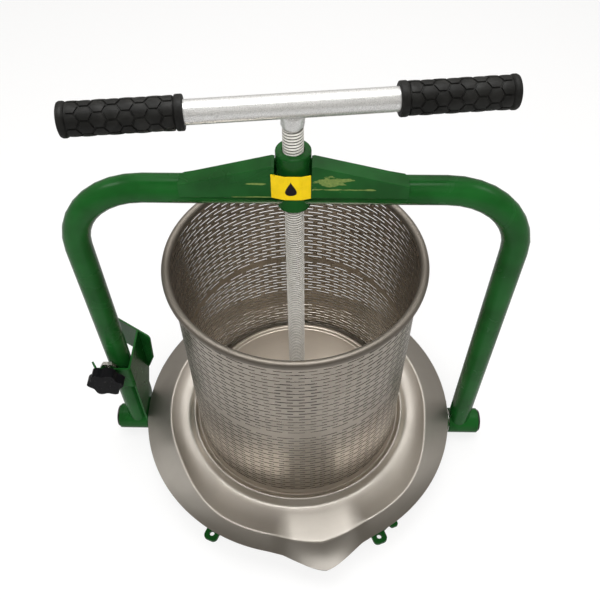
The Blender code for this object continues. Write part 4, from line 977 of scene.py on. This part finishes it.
class PRESS_OT_tray(Operator):
    """Presses the tray with its channel, bead and spout"""

    bl_idname = "press.tray"
    bl_label = "Tray"

    def execute(self, context):
        sizes = context.scene.press_tray
        edit = bmesh.new()
        geom = outline(edit, self.top_face(sizes))
        turn = Matrix.Rotation(sizes.turn, 3, "Z")
        bmesh.ops.rotate(edit, verts=edit.verts, matrix=turn, cent=(0, 0, 0))
        spin_round(edit, geom, sizes.steps)
        self.press_spout(edit, sizes)
        bmesh.ops.recalc_face_normals(edit, faces=edit.faces)
        edit.faces.ensure_lookup_table()
        face_outwards(edit, edit.faces[0], Vector((0, 0, 1)))
        tray = dress("tray_pressed", mesh_of(edit, "tray", 60), finish("satin stainless, spun"), "tray")
        thicken_sheet(tray, sizes.sheet, -1)
        return {"FINISHED"}

    def top_face(self, sizes):
        """Radius and height from the middle outwards, with its bends rounded."""
        floor, start, ridge, rim = sizes.floor_z, sizes.channel_end, sizes.ridge, sizes.rim
        channel = floor - CHANNEL_DEPTH
        rise = CHANNEL_DEPTH + RIDGE_HEIGHT
        points = [(radius, floor + over) for radius, over in TRAY_MIDDLE]
        points += [(start + (ridge - start) * along, channel + rise * up) for along, up in TRAY_RISE]
        top = floor + RIDGE_HEIGHT
        width = rim - ridge
        return points + [(ridge + width * along, top - RIM_FALL * down) for along, down in TRAY_FALL]

    def press_spout(self, edit, sizes):
        """Widens the channel to the front, draws ridge and rim out at the spout and lowers them there."""
        start, ridge, rim = sizes.channel_end, sizes.ridge, sizes.rim
        # The share from ridge to rim, kept for the spun finish, which paints shade over it.
        flange = edit.verts.layers.float.new("flange")
        for vert in edit.verts:
            radius = math.hypot(vert.co.x, vert.co.y)
            if radius < start - MERGE:
                continue
            away = math.remainder(math.atan2(vert.co.y, vert.co.x) - sizes.turn, FULL_TURN)
            to_ridge = self.between(radius, start, ridge)
            to_rim = self.between(radius, ridge, rim)
            vert[flange] = to_rim
            ridge_reach = sizes.widening * self.bell(away, *WIDENED)
            ridge_reach += sizes.corner * self.tent(away, CORNER_HALF)
            rim_reach = sizes.reach * (self.bell(away, *DRAWN_OUT) + self.tent(away, DRAWN_OUT[1])) / 2
            reach = to_ridge * (ridge_reach + (rim_reach - ridge_reach) * to_rim)
            low = sizes.floor_z - CHANNEL_DEPTH - sizes.lip * to_ridge - sizes.drop * to_rim
            low -= sizes.fold * self.tent(away, FOLD_HALF) * math.sin(math.pi * to_rim)
            height = vert.co.z + (low - vert.co.z) * self.bell(away, *LOWERED)
            scale = (radius + reach) / radius
            vert.co = (vert.co.x * scale, vert.co.y * scale, height)

    def between(self, value, start, end):
        """0 up to the start and 1 from the end on."""
        return min(max((value - start) / (end - start), 0.0), 1.0)

    def tent(self, away, half):
        """1 in the middle of the spout, straight down to 0 at a number of degrees to either side."""
        return max(0.0, 1 - abs(away) / math.radians(half))

    def bell(self, away, whole, none):
        """1 up to a number of degrees to either side of the spout, and smoothly down to 0 at another."""
        part = self.between(-abs(away), -math.radians(none), -math.radians(whole))
        return part * part * (3 - 2 * part)


class PRESS_OT_plate(Operator):
    """Finishes the press plate and its hub"""

    bl_idname = "press.plate"
    bl_label = "Press plate"

    def execute(self, context):
        rounded_copy("press_plate", finish("bright stainless"), 0.0008, "pressed")
        for node in ("hub_cup", "hub_cap"):
            rounded_copy(node, finish("dark steel"), 0.0006, "turned")
        return {"FINISHED"}


class PRESS_OT_base(Operator):
    """Enamels the base under the tray"""

    bl_idname = "press.base"
    bl_label = "Base"

    def execute(self, context):
        feet = [f"foot_{row}_{side}" for row in ("front", "rear") for side in ("left", "right")]
        for node in ("base_beam", "arm_front", "arm_rear", "tray_ring", "end_plate_right", *feet):
            rounded_copy(node, finish("green enamel"), 0.0008, "enamelled")
        return {"FINISHED"}


class PRESS_OT_lock(Operator):
    """Finishes the lock bracket, stud, nut and knob"""

    bl_idname = "press.lock"
    bl_label = "Lock"

    def execute(self, context):
        rounded_copy("lock_bracket", finish("green enamel"), 0.0006, "enamelled")
        rounded_copy("lock_nut", finish("zinc plate"), 0.0005, "plated")
        rounded_copy("lock_stud", finish("zinc plate"), 0.0003, "plated", 1)
        rounded_copy("lock_knob", finish("knob plastic"), 0.0024, "moulded", 4)
        return {"FINISHED"}


# Each lamp's place, the place that it points at and its width
LAMPS = {
    "overhead": ((0, 0.1, 2.4), (0, 0, 0.3), 1.2),
    "rear": ((0.1, 1.15, 2.2), (0, 0, 0.2), 2.0),
    "left": ((-1.5, 0.1, 1.9), (0, 0, 0.3), 0.6),
    "right": ((1.5, 0.2, 1.7), (0, 0, 0.3), 0.6),
    "front": ((0, -1.5, 2.0), (0, 0, 0.3), 1.2),
}
# How much of the floor's look is a plain glow, and how strong that is in metal
FLOOR_GLOW = 0.72
MIRRORED_GLOW = 0.35
# The photograph's camera: its place, its turns about Z, X and Y, and its focal length in picture widths
CAMERA_PLACE = (0.01945, -0.508, 0.90718)
CAMERA_TURNS = ((-0.011, "Z"), (0.879, "X"), (0.029, "Y"))
FOCAL_SHARE = 687.2 / 600
SENSOR_WIDTH = 36


class PRESS_OT_stage(Operator):
    """Sets up floor, room, lamps and camera"""

    bl_idname = "press.stage"
    bl_label = "Stage"

    def execute(self, context):
        sizes = context.scene.press_studio
        self.floor(sizes)
        self.room(sizes)
        for name in LAMPS:
            self.lamp(name, getattr(sizes, f"{name}_power"))
        self.camera()
        context.scene.view_settings.view_transform = "Standard"
        return {"FINISHED"}

    def floor(self, sizes):
        """A pale paper floor that glows where it is seen, and keeps the press's shadow."""
        edit = bmesh.new()
        bmesh.ops.create_grid(edit, x_segments=1, y_segments=1, size=sizes.floor)
        mesh = mesh_of(edit, "floor")
        material, paper, _position = new_finish("floor paper", shine=0.1)
        tree = material.node_tree
        feed(sizes.floor_colour, paper["Base Color"])
        feed(0.9, paper["Roughness"])
        ray = add(tree, "ShaderNodeLightPath").outputs
        straight = maths("MAXIMUM", ray["Is Camera Ray"], ray["Is Transmission Ray"])
        glow = add(tree, "ShaderNodeEmission")
        mirrored = times(ray["Is Glossy Ray"], MIRRORED_GLOW)
        feed(maths("ADD", straight, mirrored), glow.inputs["Strength"])
        seen = maths("MAXIMUM", straight, ray["Is Glossy Ray"])
        mix = add(tree, "ShaderNodeMixShader")
        shader = tree.nodes["Principled BSDF"].outputs[0]
        for value, socket in zip((times(seen, FLOOR_GLOW), shader, glow.outputs[0]), mix.inputs):
            feed(value, socket)
        feed(mix.outputs[0], tree.nodes["Material Output"].inputs["Surface"])
        mesh.materials.append(material)
        floor = bpy.data.objects.new("floor", mesh)
        bpy.context.scene.collection.objects.link(floor)

    def room(self, sizes):
        """A soft grey room, lighter at the rear than in front, and pale where the camera sees it."""
        world = bpy.data.worlds.new("room")
        bpy.context.scene.world = world
        world.use_nodes = True
        tree = world.node_tree
        y = axes_of(add(tree, "ShaderNodeTexCoord").outputs["Generated"])[1]
        grey = blend_colours(spread(y, -0.5, 0.7), sizes.room_front, sizes.room_rear)
        direct = add(tree, "ShaderNodeLightPath").outputs["Is Camera Ray"]
        seen = blend_colours(direct, grey, sizes.backdrop)
        feed(seen, tree.nodes["Background"].inputs["Color"])

    def lamp(self, name, power):
        """A square lamp. Metal doesn't mirror the front one."""
        place, target, width = LAMPS[name]
        data = bpy.data.lights.new(name, "AREA")
        data.shape = "SQUARE"
        data.size = width
        data.energy = power
        lamp = bpy.data.objects.new(name, data)
        lamp.location = place
        lamp.rotation_euler = (Vector(target) - Vector(place)).to_track_quat("-Z", "Y").to_euler()
        lamp.visible_glossy = name != "front"
        bpy.context.scene.collection.objects.link(lamp)

    def camera(self):
        """The photograph's camera: right, down and forward follow from its three turns."""
        look = Matrix(((1, 0, 0), (0, 0, -1), (0, 1, 0)))
        for angle, axis in reversed(CAMERA_TURNS):
            look = Matrix.Rotation(angle, 3, axis) @ look
        right, down, forward = look
        data = bpy.data.cameras.new("camera")
        data.sensor_width = SENSOR_WIDTH
        data.lens = FOCAL_SHARE * SENSOR_WIDTH
        camera = bpy.data.objects.new("camera", data)
        turn = Matrix((right, -down, -forward)).transposed().to_4x4()
        camera.matrix_world = Matrix.Translation(CAMERA_PLACE) @ turn
        bpy.context.scene.collection.objects.link(camera)
        bpy.context.scene.camera = camera


PIECES = (
    PRESS_OT_frame, PRESS_OT_label, PRESS_OT_pivots, PRESS_OT_spindle, PRESS_OT_handle, PRESS_OT_grips,
    PRESS_OT_basket, PRESS_OT_tray, PRESS_OT_plate, PRESS_OT_base, PRESS_OT_lock, PRESS_OT_stage,
)

GROUPS = {
    "press_colours": PressColours,
    "press_spindle": SpindleSizes,
    "press_basket": BasketSizes,
    "press_tray": TraySizes,
    "press_grips": GripSizes,
    "press_studio": StudioSizes,
}


class PRESS_PT_panel(Panel):
    """Lists the pieces of the press in the order in which they are made."""

    bl_idname = "PRESS_PT_panel"
    bl_label = "Fruit press"
    bl_space_type = "VIEW_3D"
    bl_region_type = "UI"
    bl_category = "Fruit press"

    def draw(self, context):
        for operator in PIECES:
            self.layout.operator(operator.bl_idname)
        for name in GROUPS:
            box = self.layout.box()
            group = getattr(context.scene, name)
            for key in group.__annotations__:
                box.prop(group, key)


def register():
    for name, group in GROUPS.items():
        bpy.utils.register_class(group)
        setattr(bpy.types.Scene, name, PointerProperty(type=group))
    for operator in PIECES:
        bpy.utils.register_class(operator)
    bpy.utils.register_class(PRESS_PT_panel)


def unregister():
    bpy.utils.unregister_class(PRESS_PT_panel)
    for operator in reversed(PIECES):
        bpy.utils.unregister_class(operator)
    for name, group in GROUPS.items():
        delattr(bpy.types.Scene, name)
        bpy.utils.unregister_class(group)


def main():
    """Makes every piece in order."""
    register()
    for operator in PIECES:
        section, verb = operator.bl_idname.split(".")
        getattr(getattr(bpy.ops, section), verb)()


if __name__ == "__main__":
    main()
